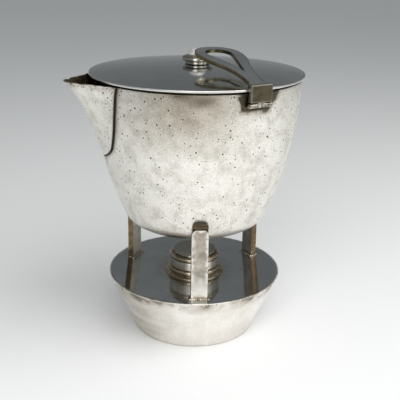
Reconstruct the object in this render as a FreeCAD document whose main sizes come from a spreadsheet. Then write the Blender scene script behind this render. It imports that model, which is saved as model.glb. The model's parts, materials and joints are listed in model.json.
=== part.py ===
"""Silver coffee pot with a hinged lid, standing loosely on its own spirit-burner stand.

Millimetres, +Z up, origin at the centre of the stand's underside. The lid's hinge is on the -Y side,
and the spout points to the left of it, a little more than a quarter turn round the pot.
"""
import FreeCAD
import Part
import Sketcher
import math
import os
import re

# Driving dimensions: name, value in millimetres or degrees, meaning
SIZES = [
    ("solder_gap", 0.05, "film of solder between two fixed pieces"),
    ("base_rim_radius", 48.7, "base bowl, outside radius at the rim"),
    ("base_foot_radius", 34.6, "base bowl, outside radius where the side meets the bottom"),
    ("base_foot_round", 2.5, "base bowl, rounding of that corner"),
    ("base_height", 33.1, "base bowl, height of the rim"),
    ("base_sheet", 1.0, "base bowl, sheet thickness"),
    ("plate_dish", 2.0, "top plate, depth of the dish"),
    ("plate_sheet", 0.9, "top plate, sheet thickness"),
    ("leg_angle", 243.5, "direction of the front leg from +X"),
    ("leg_inner_radius", 38.0, "legs, inner face from the axis at the foot"),
    ("leg_bite", 4.4, "legs, inner face inside the pot's wall at the top of the saddle"),
    ("leg_thick", 3.6, "legs, thickness of the bar"),
    ("leg_width", 9.0, "legs, width of the bar"),
    ("leg_top", 71.8, "legs, height of the top"),
    ("leg_corner", 3.4, "legs, rounding of the top corners"),
    ("saddle_width", 8.4, "saddles, width of the strip"),
    ("saddle_thick", 0.8, "saddles, thickness of the strip"),
    ("saddle_bottom", 65.6, "saddles, height of the lower end"),
    ("saddle_top", 76.4, "saddles, height of the upper end"),
    ("saddle_corner", 3.0, "saddles, rounding of the upper corners"),
    ("seat_gap", 0.3, "clearance of the loose pot on its saddles"),
    ("collar_flange_radius", 16.7, "burner collar, flange on the plate"),
    ("collar_lip_radius", 14.6, "burner collar, top of the flange's slope"),
    ("collar_edge", 0.4, "burner collar, straight edge of the flange"),
    ("collar_flange_height", 1.5, "burner collar, height of the flange"),
    ("collar_wall", 1.6, "burner collar, wall of the socket"),
    ("collar_depth", 6.5, "burner collar, socket below the flange"),
    ("head_plug_radius", 9.0, "burner head, radius of the plug"),
    ("head_plug_depth", 8.0, "burner head, plug below its rim"),
    ("head_rim_radius", 15.1, "burner head, radius of the rounded rim"),
    ("head_rim_height", 2.2, "burner head, height of the rounded rim"),
    ("screw_clearance", 0.08, "clearance of the plug in its socket"),
    ("head_seat_gap", 0.2, "clearance of the head's rim on the collar"),
    ("tube_radius", 3.4, "wick tube, outside radius"),
    ("tube_wall", 0.6, "wick tube, wall"),
    ("tube_rise", 4.2, "wick tube, height above the head"),
    ("tube_drop", 2.0, "wick tube, length below the plug"),
    ("wick_clearance", 0.1, "clearance of the wick in its tube"),
    ("wick_rise", 1.4, "wick, height above its tube"),
    ("wick_foot", 2.0, "wick, lower end above the bowl's floor"),
    ("snuffer_seat_gap", 0.3, "clearance of the snuffer on the head"),
    ("snuffer_radius", 13.75, "snuffer neck, outside radius"),
    ("snuffer_wall", 1.2, "snuffer neck, wall"),
    ("snuffer_neck_height", 4.7, "snuffer neck, height"),
    ("bead_radius", 1.4, "snuffer bead, radius of its section"),
    ("bead_outer_radius", 14.1, "snuffer bead, outside radius"),
    ("snuffer_top_radius", 12.2, "snuffer top, radius of the disc"),
    ("snuffer_top_thick", 1.4, "snuffer top, thickness"),
    ("snuffer_top_round", 0.5, "snuffer top, rounding of its edge"),
    ("pot_floor", 62.6, "pot, height of its underside above the table"),
    ("pot_depth", 81.2, "pot, height from underside to rim"),
    ("pot_rim_radius", 55.5, "pot, outside radius at the rim"),
    ("pot_wall_radius", 180.0, "pot, radius of the curve of the wall"),
    ("pot_corner_radius", 11.0, "pot, radius of the lower corner"),
    ("pot_sheet", 1.1, "pot, sheet thickness"),
    ("spout_angle", 169.0, "direction of the spout from +X"),
    ("spout_sheet", 1.0, "spout, sheet thickness"),
    ("spout_tip_reach", 15.5, "spout, lip beyond the wall at the rim"),
    ("spout_tip_half", 24.6, "spout, half width at the wall at the rim"),
    ("spout_tip_round", 8.0, "spout, rounding of the lip"),
    ("spout_upper_drop", 11.3, "spout, upper section below the rim"),
    ("spout_upper_reach", 7.5, "spout, nose beyond the wall there"),
    ("spout_upper_half", 22.0, "spout, half width at the wall there"),
    ("spout_upper_round", 12.0, "spout, rounding of the nose there"),
    ("spout_lower_drop", 26.0, "spout, lower section below the rim"),
    ("spout_lower_reach", 2.7, "spout, nose beyond the wall there"),
    ("spout_lower_half", 16.6, "spout, half width at the wall there"),
    ("spout_lower_round", 18.0, "spout, rounding of the nose there"),
    ("spout_foot_drop", 40.8, "spout, lower end below the rim"),
    ("spout_foot_reach", 0.75, "spout, nose beyond the wall at the lower end"),
    ("spout_foot_half", 5.0, "spout, half width at the lower end"),
    ("spout_foot_round", 8.0, "spout, rounding at the lower end"),
    ("spout_root", 12.0, "spout, depth of the opening behind the wall"),
    ("lid_radius", 57.0, "lid, radius"),
    ("lid_sheet", 1.1, "lid, sheet thickness"),
    ("lid_rise", 3.8, "lid, rise of the dome"),
    ("lid_gap", 1.2, "lid, edge above the pot's rim"),
    ("bezel_clearance", 2.0, "lid bezel, clearance inside the pot's mouth"),
    ("bezel_depth", 1.8, "lid bezel, depth below the rim"),
    ("bezel_sheet", 1.0, "lid bezel, sheet thickness"),
    ("bezel_setback", 0.5, "lid bezel, flange inside the rim's outer edge"),
    ("bezel_lap", 6.2, "lid bezel, least width of its flange under the lid"),
    ("bezel_seat_gap", 0.3, "lid bezel, flange above the rim"),
    ("knob_foot_radius", 6.8, "knob, radius of the lower ring"),
    ("knob_foot_height", 1.7, "knob, height of the lower ring"),
    ("knob_ring_radius", 8.2, "knob, radius of the upper ring"),
    ("knob_ring_height", 2.2, "knob, height of the upper ring's edge"),
    ("knob_ring_crown", 3.5, "knob, height of its sloping top"),
    ("post_radius", 3.6, "knob post, radius"),
    ("post_height", 8.0, "knob post, height above the lid"),
    ("strap_sheet", 1.7, "strap, thickness"),
    ("strap_curve", 170.0, "strap, radius of its arch"),
    ("strap_crest", 63.0, "strap, distance of its arch's highest point from the hinge block"),
    ("strap_crest_height", 10.4, "strap, highest point of its arch above the top of the lid"),
    ("strap_end_half", 6.0, "strap, half width at the hinge block"),
    ("strap_neck", 53.5, "strap, distance of its neck from the axis"),
    ("strap_neck_half", 4.1, "strap, half width at the neck"),
    ("strap_leaf", 21.3, "strap, distance of its round end's centre from the axis"),
    ("strap_leaf_half", 12.2, "strap, radius of its round end"),
    ("strap_flare", 38.0, "strap, radius of the flare from neck to leaf"),
    ("eye_centre", 21.4, "eye of the strap, centre of its round end"),
    ("eye_radius", 6.8, "eye of the strap, radius of its round end"),
    ("eye_point", 44.4, "eye of the strap, its pointed end"),
    ("block_clearance", 1.5, "hinge block, least clearance outside the pot's rim"),
    ("block_width", 12.0, "hinge block, width"),
    ("block_thick", 2.9, "hinge block, thickness"),
    ("block_height", 8.4, "hinge block, height"),
    ("block_drop", 3.6, "hinge block, lower face below the rim"),
    ("block_round", 0.4, "hinge block, rounding of its edges"),
    ("hinge_reach", 1.4, "hinge pin, distance outside the block's inner face"),
    ("knuckle_radius", 1.2, "hinge barrels, radius"),
    ("knuckle_gap", 0.3, "clearance round the barrels"),
    ("lid_knuckle_half", 2.1, "middle barrel, half length"),
    ("pot_knuckle_length", 3.8, "outer barrels, length"),
    ("leaf_thick", 0.9, "leaves that join the barrels, thickness"),
    ("pin_radius", 0.6, "hinge pin, radius"),
    ("pin_clearance", 0.05, "clearance of the pin in the middle barrel"),
    ("pin_end", 0.2, "hinge pin, end beyond the outer barrels"),
    ("shield_sheet", 0.8, "hinge plate, sheet thickness"),
    ("shield_top_half", 10.0, "hinge plate, half width at the top"),
    ("shield_bottom_half", 7.0, "hinge plate, half width at the bottom"),
    ("shield_drop", 1.3, "hinge plate, top below the rim"),
    ("shield_height", 6.6, "hinge plate, height"),
]

doc = FreeCAD.newDocument("coffee_pot")
sheet = doc.addObject("Spreadsheet::Sheet", "Sizes")
for row, (alias, size, meaning) in enumerate(SIZES, start=1):
    sheet.set(f"A{row}", meaning)
    sheet.set(f"B{row}", str(size))
    sheet.setAlias(f"B{row}", alias)
doc.recompute()

ALIAS = re.compile(r"\b(" + "|".join(alias for alias, size, meaning in SIZES) + r")\b")


def number(formula):
    """The value of a formula in the sheet's names."""
    return float(sheet.evalExpression(formula))


def bind(item, path, formula):
    """Tie a property to a formula in the sheet's names."""
    item.setExpression(path, ALIAS.sub(r"Sizes.\1", formula))


# Heights and curves that several pieces share, as formulas
RIM = "(pot_floor + pot_depth)"
MOUTH = "(pot_rim_radius - pot_sheet)"
WALL_CENTRE = "(pot_rim_radius - pot_wall_radius)"
CORNER_REACH = "sqrt((pot_wall_radius - pot_corner_radius)^2 - (pot_depth - pot_corner_radius)^2)"
CORNER_CENTRE = f"({WALL_CENTRE} + {CORNER_REACH})"
SIDE_RUN = "(base_rim_radius - base_foot_radius)"
SIDE_LENGTH = f"sqrt({SIDE_RUN}^2 + base_height^2)"
WALL_RUN = f"(base_sheet * {SIDE_LENGTH} / base_height)"
PLATE_RADIUS = f"(base_rim_radius - {WALL_RUN} - solder_gap)"
PLATE_SPHERE = f"(({PLATE_RADIUS}^2 + plate_dish^2) / (2 * plate_dish))"
LID_EDGE = f"({RIM} + lid_gap)"
LID_SPHERE = "((lid_radius^2 + lid_rise^2) / (2 * lid_rise))"
LID_APEX = f"({LID_EDGE} + lid_sheet + lid_rise)"
COLLAR_BORE = "(head_plug_radius + screw_clearance)"
COLLAR_OUTER = f"({COLLAR_BORE} + collar_wall)"
BLOCK_FACE = "(max(lid_radius; pot_rim_radius + block_clearance) + 2 * solder_gap)"
BLOCK_BOTTOM = f"({RIM} - block_drop)"
HINGE_Y = f"({BLOCK_FACE} + hinge_reach)"
HINGE_Z = f"({BLOCK_BOTTOM} - knuckle_radius - knuckle_gap)"
CREST = f"({LID_APEX} + strap_crest_height)"


def wall_at(drop):
    """Outside radius of the pot at a distance below the rim."""
    return f"({WALL_CENTRE} + sqrt(pot_wall_radius^2 - ({drop})^2))"


def plate_top(radius):
    """Height of the dished plate's upper face at a radius."""
    return f"(base_height - plate_dish + {PLATE_SPHERE} - sqrt({PLATE_SPHERE}^2 - ({radius})^2))"


def lid_under(radius):
    """Height of the lid's lower face at a radius."""
    return f"({LID_EDGE} + lid_rise - {LID_SPHERE} + sqrt({LID_SPHERE}^2 - ({radius})^2))"


FLANGE_FOOT = f"({plate_top('collar_flange_radius')} + solder_gap)"
FLANGE_TOP = f"({FLANGE_FOOT} + collar_flange_height)"
HEAD_FOOT = f"({FLANGE_TOP} + head_seat_gap)"
HEAD_TOP = f"({HEAD_FOOT} + head_rim_height)"
TUBE_TOP = f"({HEAD_TOP} + tube_rise)"
SNUFFER_FOOT = f"({HEAD_TOP} + snuffer_seat_gap)"
BEAD_FOOT = f"({SNUFFER_FOOT} + snuffer_neck_height + solder_gap)"
DISC_FOOT = f"({BEAD_FOOT} + 2 * bead_radius + solder_gap)"
KNOB_FOOT = f"({LID_APEX} + solder_gap)"
RING_FOOT = f"({KNOB_FOOT} + knob_foot_height + solder_gap)"


def new_body(label):
    """An empty body with its label."""
    body = doc.addObject("PartDesign::Body", label)
    body.Label = label
    return body


def sketch_in(body, role, offset=None):
    """A sketch on one of the body's origin planes, moved along its normal by a formula."""
    plane = next(item for item in body.Origin.OriginFeatures if item.Role == role)
    sketch = body.newObject("Sketcher::SketchObject", body.Name + "_sketch")
    sketch.AttachmentSupport = (plane, [""])
    sketch.MapMode = "FlatFace"
    if offset:
        bind(sketch, "AttachmentOffset.Base.z", offset)
    return sketch


def arc_between(start, end, radius, turn):
    """The short arc from start to end that turns left or right."""
    chord = end - start
    reach = math.sqrt(max(radius**2 - (chord.Length / 2)**2, 0.0))
    left = FreeCAD.Vector(-chord.y, chord.x, 0).normalize()
    centre = (start + end) * 0.5 + left * (reach if turn == "left" else -reach)
    first, last = (start, end) if turn == "left" else (end, start)
    angle = [math.atan2(point.y - centre.y, point.x - centre.x) for point in (first, last)]
    circle = Part.Circle(centre, FreeCAD.Vector(0, 0, 1), radius)
    return Part.ArcOfCircle(circle, angle[0], angle[1])


def draw(sketch, corners):
    """Draw a closed outline. A corner is (x, y), or (x, y, radius, turn) where an arc leaves it."""
    points = [FreeCAD.Vector(number(corner[0]), number(corner[1]), 0) for corner in corners]
    begins = []
    ends = []
    for index, corner in enumerate(corners):
        start = points[index]
        end = points[(index + 1) % len(points)]
        if len(corner) == 2:
            edge = sketch.addGeometry(Part.LineSegment(start, end))
            begins.append((edge, 1))
            ends.append((edge, 2))
            continue
        radius, turn = corner[2:]
        edge = sketch.addGeometry(arc_between(start, end, number(radius), turn))
        begins.append((edge, 1 if turn == "left" else 2))
        ends.append((edge, 2 if turn == "left" else 1))
        rule = sketch.addConstraint(Sketcher.Constraint("Radius", edge, number(radius)))
        bind(sketch, f"Constraints[{rule}]", radius)
    for index, corner in enumerate(corners):
        edge, end = begins[index]
        sketch.addConstraint(Sketcher.Constraint("Coincident", *ends[index - 1], edge, end))
        for axis, formula in zip(("DistanceX", "DistanceY"), corner):
            rule = sketch.addConstraint(Sketcher.Constraint(axis, -1, 1, edge, end, number(formula)))
            bind(sketch, f"Constraints[{rule}]", formula)


def turned(label, corners):
    """A piece of revolution about Z from an outline in radius and height."""
    body = new_body(label)
    sketch = sketch_in(body, "XZ_Plane")
    draw(sketch, corners)
    solid = body.newObject("PartDesign::Revolution", label + "_turn")
    solid.Profile = sketch
    solid.ReferenceAxis = (sketch, ["V_Axis"])
    solid.Angle = 360
    return body


def padded(label, role, corners, offset, length, both=False):
    """A prism on an origin plane, starting at an offset along its normal."""
    body = new_body(label)
    sketch = sketch_in(body, role, offset)
    draw(sketch, corners)
    solid = body.newObject("PartDesign::Pad", label + "_pad")
    solid.Profile = sketch
    bind(solid, "Length", length)
    if both:
        solid.SideType = "Symmetric"
    return body


def combine(kind, label, base, tool):
    """A boolean of two pieces."""
    result = doc.addObject(f"Part::{kind}", label)
    result.Label = label
    result.Base = base
    result.Tool = tool
    return result


def turn_about_z(item, angle):
    """Turn a piece about the axis of the pot."""
    item.Placement.Rotation = FreeCAD.Rotation(FreeCAD.Vector(0, 0, 1), number(angle))
    bind(item, "Placement.Rotation.Angle", angle)


def pot_corner_point(offset):
    """Where the lower corner meets the wall, on a surface at an offset outside the pot."""
    reach = f"(pot_wall_radius + ({offset})) / (pot_wall_radius - pot_corner_radius)"
    return (f"{WALL_CENTRE} + {reach} * {CORNER_REACH}",
            f"{RIM} - {reach} * (pot_depth - pot_corner_radius)")


def pot_envelope(label, offset):
    """The space that the closed pot fills, grown by an offset."""
    return turned(label, [
        ("0", f"pot_floor - ({offset})"),
        (CORNER_CENTRE, f"pot_floor - ({offset})", f"pot_corner_radius + ({offset})", "left"),
        (*pot_corner_point(offset), f"pot_wall_radius + ({offset})", "left"),
        (f"pot_rim_radius + ({offset})", RIM),
        ("0", RIM),
    ])


parts = []

# Base bowl: one raised sheet bowl, its foot corner rounded
FOOT_CUT = f"(base_foot_round * ({SIDE_LENGTH} - {SIDE_RUN}) / base_height)"
FLOOR_RADIUS = f"(base_foot_radius + {SIDE_RUN} * base_sheet / base_height - {WALL_RUN})"
parts.append(turned("base_bowl", [
    ("0", "0"),
    (f"base_foot_radius - {FOOT_CUT}", "0", "base_foot_round", "left"),
    (f"base_foot_radius + {FOOT_CUT} * {SIDE_RUN} / {SIDE_LENGTH}",
     f"{FOOT_CUT} * base_height / {SIDE_LENGTH}"),
    ("base_rim_radius", "base_height"),
    (f"base_rim_radius - {WALL_RUN}", "base_height"),
    (FLOOR_RADIUS, "base_sheet"),
    ("0", "base_sheet"),
]))

# Top plate: dished disc inside the bowl's rim, with a hole for the burner's socket
PLATE_HOLE = f"({COLLAR_OUTER} + solder_gap)"
PLATE_UNDER_RADIUS = f"({PLATE_RADIUS} - {SIDE_RUN} * plate_sheet / base_height)"
parts.append(turned("base_top_plate", [
    (PLATE_HOLE, f"{plate_top(PLATE_HOLE)} - plate_sheet", PLATE_SPHERE, "left"),
    (PLATE_UNDER_RADIUS, f"{plate_top(PLATE_UNDER_RADIUS)} - plate_sheet"),
    (PLATE_RADIUS, "base_height", PLATE_SPHERE, "right"),
    (PLATE_HOLE, plate_top(PLATE_HOLE)),
]))

# Legs and saddles: three upright bars, hollowed at the top to the pot's curve, each with a strip on it
LEG_OUTER = "(leg_inner_radius + leg_thick)"
LEG_FOOT = f"({plate_top(f'sqrt({LEG_OUTER}^2 + (leg_width / 2)^2)')} + solder_gap)"
LEG_HEAD = f"({wall_at(f'{RIM} - saddle_top')} - leg_bite)"


def round_topped(width, bottom, top, corner):
    """Front view of an upright strip with rounded upper corners."""
    half = f"{width} / 2"
    return [
        (f"-{half}", bottom),
        (half, bottom),
        (half, f"{top} - {corner}", corner, "left"),
        (f"{half} - {corner}", top),
        (f"-{half} + {corner}", top, corner, "left"),
        (f"-{half}", f"{top} - {corner}"),
    ]


for place, angle in (("front", "leg_angle"), ("right", "leg_angle + 120"), ("rear", "leg_angle + 240")):
    side = padded(f"leg_{place}_side", "XZ_Plane", [
        ("leg_inner_radius", LEG_FOOT),
        (LEG_OUTER, LEG_FOOT),
        (f"{LEG_HEAD} + leg_thick", "saddle_top"),
        (LEG_HEAD, "saddle_top"),
    ], "0", "2 * leg_width", both=True)
    front = padded(f"leg_{place}_front", "YZ_Plane",
                   round_topped("leg_width", "base_height / 2", "leg_top", "leg_corner"),
                   f"{CORNER_CENTRE} / 2", "pot_rim_radius")
    bar = combine("Common", f"leg_{place}_bar", side, front)
    hollow = pot_envelope(f"leg_{place}_hollow", "seat_gap + saddle_thick + solder_gap")
    leg = combine("Cut", f"leg_{place}", bar, hollow)
    turn_about_z(leg, angle)
    parts.append(leg)
    outer = pot_envelope(f"saddle_{place}_outer", "seat_gap + saddle_thick")
    inner = pot_envelope(f"saddle_{place}_inner", "seat_gap")
    skin = combine("Cut", f"saddle_{place}_skin", outer, inner)
    strip = padded(f"saddle_{place}_strip", "YZ_Plane",
                   round_topped("saddle_width", "saddle_bottom", "saddle_top", "saddle_corner"),
                   f"{CORNER_CENTRE} / 2", "pot_rim_radius")
    saddle = combine("Common", f"saddle_{place}", skin, strip)
    turn_about_z(saddle, angle)
    parts.append(saddle)

# Burner collar: flanged socket let into the plate
parts.append(turned("burner_collar", [
    (COLLAR_BORE, f"{FLANGE_FOOT} - collar_depth"),
    (COLLAR_OUTER, f"{FLANGE_FOOT} - collar_depth"),
    (COLLAR_OUTER, FLANGE_FOOT),
    ("collar_flange_radius", FLANGE_FOOT),
    ("collar_flange_radius", f"{FLANGE_FOOT} + collar_edge"),
    ("collar_lip_radius", FLANGE_TOP),
    (COLLAR_BORE, FLANGE_TOP),
]))

# Burner head: plug with a half-round rim, bored for the wick tube
HEAD_BORE = "(tube_radius + solder_gap)"
HEAD_SHOULDER = "(head_rim_radius - head_rim_height / 2)"
HEAD_MIDDLE = f"({HEAD_FOOT} + head_rim_height / 2)"
PLUG_FOOT = f"({HEAD_FOOT} - head_plug_depth)"
parts.append(turned("burner_head", [
    (HEAD_BORE, PLUG_FOOT),
    ("head_plug_radius", PLUG_FOOT),
    ("head_plug_radius", HEAD_FOOT),
    (HEAD_SHOULDER, HEAD_FOOT, "head_rim_height / 2", "left"),
    ("head_rim_radius", HEAD_MIDDLE, "head_rim_height / 2", "left"),
    (HEAD_SHOULDER, HEAD_TOP),
    (HEAD_BORE, HEAD_TOP),
]))
parts.append(turned("wick_tube", [
    ("tube_radius - tube_wall", f"{PLUG_FOOT} - tube_drop"),
    ("tube_radius", f"{PLUG_FOOT} - tube_drop"),
    ("tube_radius", TUBE_TOP),
    ("tube_radius - tube_wall", TUBE_TOP),
]))
WICK_RADIUS = "(tube_radius - tube_wall - wick_clearance)"
parts.append(turned("wick", [
    ("0", "base_sheet + wick_foot"),
    (WICK_RADIUS, "base_sheet + wick_foot"),
    (WICK_RADIUS, f"{TUBE_TOP} + wick_rise"),
    ("0", f"{TUBE_TOP} + wick_rise"),
]))

# Snuffer: short tube, half-round bead and flat top, which drops over the wick
parts.append(turned("snuffer_neck", [
    ("snuffer_radius - snuffer_wall", SNUFFER_FOOT),
    ("snuffer_radius", SNUFFER_FOOT),
    ("snuffer_radius", f"{SNUFFER_FOOT} + snuffer_neck_height"),
    ("snuffer_radius - snuffer_wall", f"{SNUFFER_FOOT} + snuffer_neck_height"),
]))
bead = doc.addObject("Part::Torus", "snuffer_bead")
bind(bead, "Radius1", "bead_outer_radius - bead_radius")
bind(bead, "Radius2", "bead_radius")
bind(bead, "Placement.Base.z", f"{BEAD_FOOT} + bead_radius")
parts.append(bead)
DISC_TOP = f"({DISC_FOOT} + snuffer_top_thick)"
parts.append(turned("snuffer_top", [
    ("0", DISC_FOOT),
    ("snuffer_top_radius", DISC_FOOT),
    ("snuffer_top_radius", f"{DISC_TOP} - snuffer_top_round", "snuffer_top_round", "left"),
    ("snuffer_top_radius - snuffer_top_round", DISC_TOP),
    ("0", DISC_TOP),
]))

# Spout: a beak lofted through level sections, its sides straight from the wall to a rounded nose
SECTIONS = ("tip", "upper", "lower", "foot")


def spout_outline(name, inset):
    """A level section of the beak, drawn in from its outside by an inset."""
    drop = "0" if name == "tip" else f"spout_{name}_drop"
    wall = wall_at(drop)
    half = f"(spout_{name}_half - sqrt(2) * ({inset}))"
    curve = f"(spout_{name}_round - ({inset}))"
    seam = f"sqrt({wall}^2 - spout_{name}_half^2)"
    centre = f"({wall} + spout_{name}_reach - spout_{name}_round)"
    back = f"({wall} - spout_root)"
    run = f"({seam} - {centre})"
    lean = f"(atan2({half}; {run}) - acos({curve} / sqrt({run}^2 + {half}^2)))"
    nose = (f"{centre} + {curve} * cos({lean})", f"{curve} * sin({lean})")
    return [
        (back, f"-{half}"),
        (seam, f"-{half}"),
        (nose[0], f"-({nose[1]})", curve, "left"),
        nose,
        (seam, half),
        (back, half),
    ]


def spout_loft(label, names, inset):
    """The beak's outside, or the hollow inside it."""
    body = new_body(label)
    sketches = []
    for name in names:
        drop = "0" if name == "tip" else f"spout_{name}_drop"
        sketch = sketch_in(body, "XY_Plane", f"{RIM} - {drop}")
        draw(sketch, spout_outline(name, inset))
        sketches.append(sketch)
    loft = body.newObject("PartDesign::AdditiveLoft", label + "_loft")
    loft.Profile = sketches[0]
    loft.Sections = sketches[1:]
    turn_about_z(body, "spout_angle")
    return body


beak = spout_loft("spout_beak", SECTIONS, "0")
hollow = spout_loft("spout_hollow", SECTIONS[:3], "spout_sheet")
trough = combine("Cut", "spout_trough", beak, hollow)
spout = combine("Cut", "spout", trough, pot_envelope("spout_wall", "solder_gap"))
parts.append(spout)

# Pot: a raised bowl with a flat bottom, opened into the spout
shell = turned("pot_shell", [
    ("0", "pot_floor"),
    (CORNER_CENTRE, "pot_floor", "pot_corner_radius", "left"),
    (*pot_corner_point("0"), "pot_wall_radius", "left"),
    ("pot_rim_radius", RIM),
    (MOUTH, RIM, "pot_wall_radius - pot_sheet", "right"),
    (*pot_corner_point("-pot_sheet"), "pot_corner_radius - pot_sheet", "right"),
    (CORNER_CENTRE, "pot_floor + pot_sheet"),
    ("0", "pot_floor + pot_sheet"),
])
parts.append(combine("Cut", "pot_body", shell, hollow))

# Hinge on the pot: shield on the wall, two barrels with leaves, and the pin
SHIELD_TOP = f"({RIM} - shield_drop)"
SHIELD_BOTTOM = f"({SHIELD_TOP} - shield_height)"
shield = padded("hinge_plate_blank", "XZ_Plane", [
    ("-shield_bottom_half", SHIELD_BOTTOM),
    ("shield_bottom_half", SHIELD_BOTTOM),
    ("shield_top_half", SHIELD_TOP),
    ("-shield_top_half", SHIELD_TOP),
], "0", f"{HINGE_Y}")
skin = combine("Cut", "hinge_plate_skin", pot_envelope("hinge_plate_outer", "solder_gap + shield_sheet"),
               pot_envelope("hinge_plate_inner", "solder_gap"))
parts.append(combine("Common", "hinge_plate", skin, shield))


def rod(label, radius, start, length):
    """A cylinder along X on the hinge's axis."""
    item = doc.addObject("Part::Cylinder", label)
    item.Label = label
    item.Placement.Rotation = FreeCAD.Rotation(FreeCAD.Vector(0, 1, 0), 90)
    bind(item, "Radius", radius)
    bind(item, "Height", length)
    bind(item, "Placement.Base.x", start)
    bind(item, "Placement.Base.y", f"-{HINGE_Y}")
    bind(item, "Placement.Base.z", HINGE_Z)
    return item


def block(label, low, size):
    """A box from its low corner and its size."""
    item = doc.addObject("Part::Box", label)
    item.Label = label
    for axis, formula in zip("xyz", low):
        bind(item, f"Placement.Base.{axis}", formula)
    for side, formula in zip(("Length", "Width", "Height"), size):
        bind(item, side, formula)
    return item


def barrel(label, start, length, bore, leaf_low, leaf_size):
    """A hinge barrel with its leaf and its bore."""
    tube = rod(label + "_tube", "knuckle_radius", start, length)
    leaf = block(label + "_leaf", (start, *leaf_low), (length, *leaf_size))
    solid = combine("Fuse", label + "_solid", tube, leaf)
    hole = rod(label + "_hole", bore, start, length)
    return combine("Cut", label, solid, hole)


seat = pot_envelope("knuckle_seat", "shield_sheet + 2 * solder_gap")
outer_barrels = []
for side, start in (("left", "-lid_knuckle_half - knuckle_gap - pot_knuckle_length"),
                    ("right", "lid_knuckle_half + knuckle_gap")):
    outer_barrel = barrel(f"pot_knuckle_{side}_blank", start, "pot_knuckle_length",
                          "pin_radius + solder_gap / 2",
                          (f"-{HINGE_Y}", f"{HINGE_Z} - knuckle_radius"), (HINGE_Y, "leaf_thick"))
    outer_barrels.append(combine("Cut", f"pot_knuckle_{side}", outer_barrel, seat))
knuckles = doc.addObject("Part::Compound", "pot_knuckles")
knuckles.Links = outer_barrels
parts.append(knuckles)
PIN_HALF = "(lid_knuckle_half + knuckle_gap + pot_knuckle_length + pin_end)"
parts.append(rod("hinge_pin", "pin_radius", f"-{PIN_HALF}", f"2 * {PIN_HALF}"))

# Lid: shallow dome, and a ring under it that drops into the pot's mouth
parts.append(turned("lid_plate", [
    ("0", lid_under("0"), LID_SPHERE, "right"),
    ("lid_radius", LID_EDGE),
    ("lid_radius", f"{LID_EDGE} + lid_sheet", LID_SPHERE, "left"),
    ("0", LID_APEX),
]))
SKIRT_OUTER = f"({MOUTH} - bezel_clearance)"
SKIRT_INNER = f"({SKIRT_OUTER} - bezel_sheet)"
FLANGE_OUTER = "(pot_rim_radius - bezel_setback)"
FLANGE_INNER = "min(lid_radius; pot_rim_radius + block_clearance) - bezel_lap"
parts.append(turned("lid_bezel", [
    (FLANGE_INNER, f"{RIM} + bezel_seat_gap"),
    (SKIRT_INNER, f"{RIM} + bezel_seat_gap"),
    (SKIRT_INNER, f"{RIM} - bezel_depth"),
    (SKIRT_OUTER, f"{RIM} - bezel_depth"),
    (SKIRT_OUTER, f"{RIM} + bezel_seat_gap"),
    (FLANGE_OUTER, f"{RIM} + bezel_seat_gap"),
    (FLANGE_OUTER, f"{lid_under(FLANGE_OUTER)} - solder_gap", LID_SPHERE, "left"),
    (FLANGE_INNER, f"{lid_under(FLANGE_INNER)} - solder_gap"),
]))

# Knob: two stacked rings with half-round edges on a post, at the centre of the lid
POST_BORE = "(post_radius + solder_gap)"


def rounded_ring(label, radius, foot, height, crown):
    """A ring with a half-round edge and a sloping top, bored for the post."""
    shoulder = f"({radius} - {height} / 2)"
    return turned(label, [
        (POST_BORE, foot),
        (shoulder, foot, f"{height} / 2", "left"),
        (radius, f"{foot} + {height} / 2", f"{height} / 2", "left"),
        (shoulder, f"{foot} + {height}"),
        (POST_BORE, f"{foot} + {height} + {crown}"),
    ])


parts.append(rounded_ring("knob_foot", "knob_foot_radius", KNOB_FOOT, "knob_foot_height", "0"))
parts.append(rounded_ring("knob_ring", "knob_ring_radius", RING_FOOT, "knob_ring_height",
                          "knob_ring_crown"))
parts.append(turned("knob_post", [
    ("0", KNOB_FOOT),
    ("post_radius", KNOB_FOOT),
    ("post_radius", f"{KNOB_FOOT} + post_height"),
    ("0", f"{KNOB_FOOT} + post_height"),
]))

# Strap: an arched leaf with a round end and a pointed eye, from the hinge block to beside the knob
FLARE_RUN = "(strap_neck - strap_leaf)"
FLARE_RISE = "(strap_leaf_half - strap_neck_half)"
FLARE_SUM = f"(({FLARE_RUN}^2 + {FLARE_RISE}^2) / (2 * {FLARE_RISE}))"
FLARE_SHARE = f"(strap_flare / {FLARE_SUM})"
ROOT_RUN = f"({BLOCK_FACE} - solder_gap - strap_neck)"
ROOT_RISE = "(strap_end_half - strap_neck_half)"
ROOT_CURVE = f"(({ROOT_RUN}^2 + {ROOT_RISE}^2) / (2 * {ROOT_RISE}))"
TURN_X = f"(strap_neck_half + {FLARE_SHARE} * {FLARE_RISE})"
TURN_Y = f"-(strap_neck - {FLARE_SHARE} * {FLARE_RUN})"
STRAP_START = f"-({BLOCK_FACE} - solder_gap)"
plan = padded("strap_plan", "XY_Plane", [
    ("-strap_end_half", STRAP_START),
    ("strap_end_half", STRAP_START, ROOT_CURVE, "right"),
    ("strap_neck_half", "-strap_neck", "strap_flare", "right"),
    (TURN_X, TURN_Y, f"{FLARE_SUM} - strap_flare", "left"),
    ("strap_leaf_half", "-strap_leaf", "strap_leaf_half", "left"),
    ("0", "-strap_leaf + strap_leaf_half", "strap_leaf_half", "left"),
    ("-strap_leaf_half", "-strap_leaf", f"{FLARE_SUM} - strap_flare", "left"),
    (f"-{TURN_X}", TURN_Y, "strap_flare", "right"),
    ("-strap_neck_half", "-strap_neck", ROOT_CURVE, "right"),
], LID_EDGE, "block_height + 2 * strap_crest_height")


def strap_height(distance, lower):
    """Height of the arch's upper face, or of a face below it, at a distance from the axis."""
    curve = f"(strap_curve - ({lower}))"
    return f"({CREST} - strap_curve + sqrt({curve}^2 - ({distance} + {STRAP_START} + strap_crest)^2))"


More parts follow.
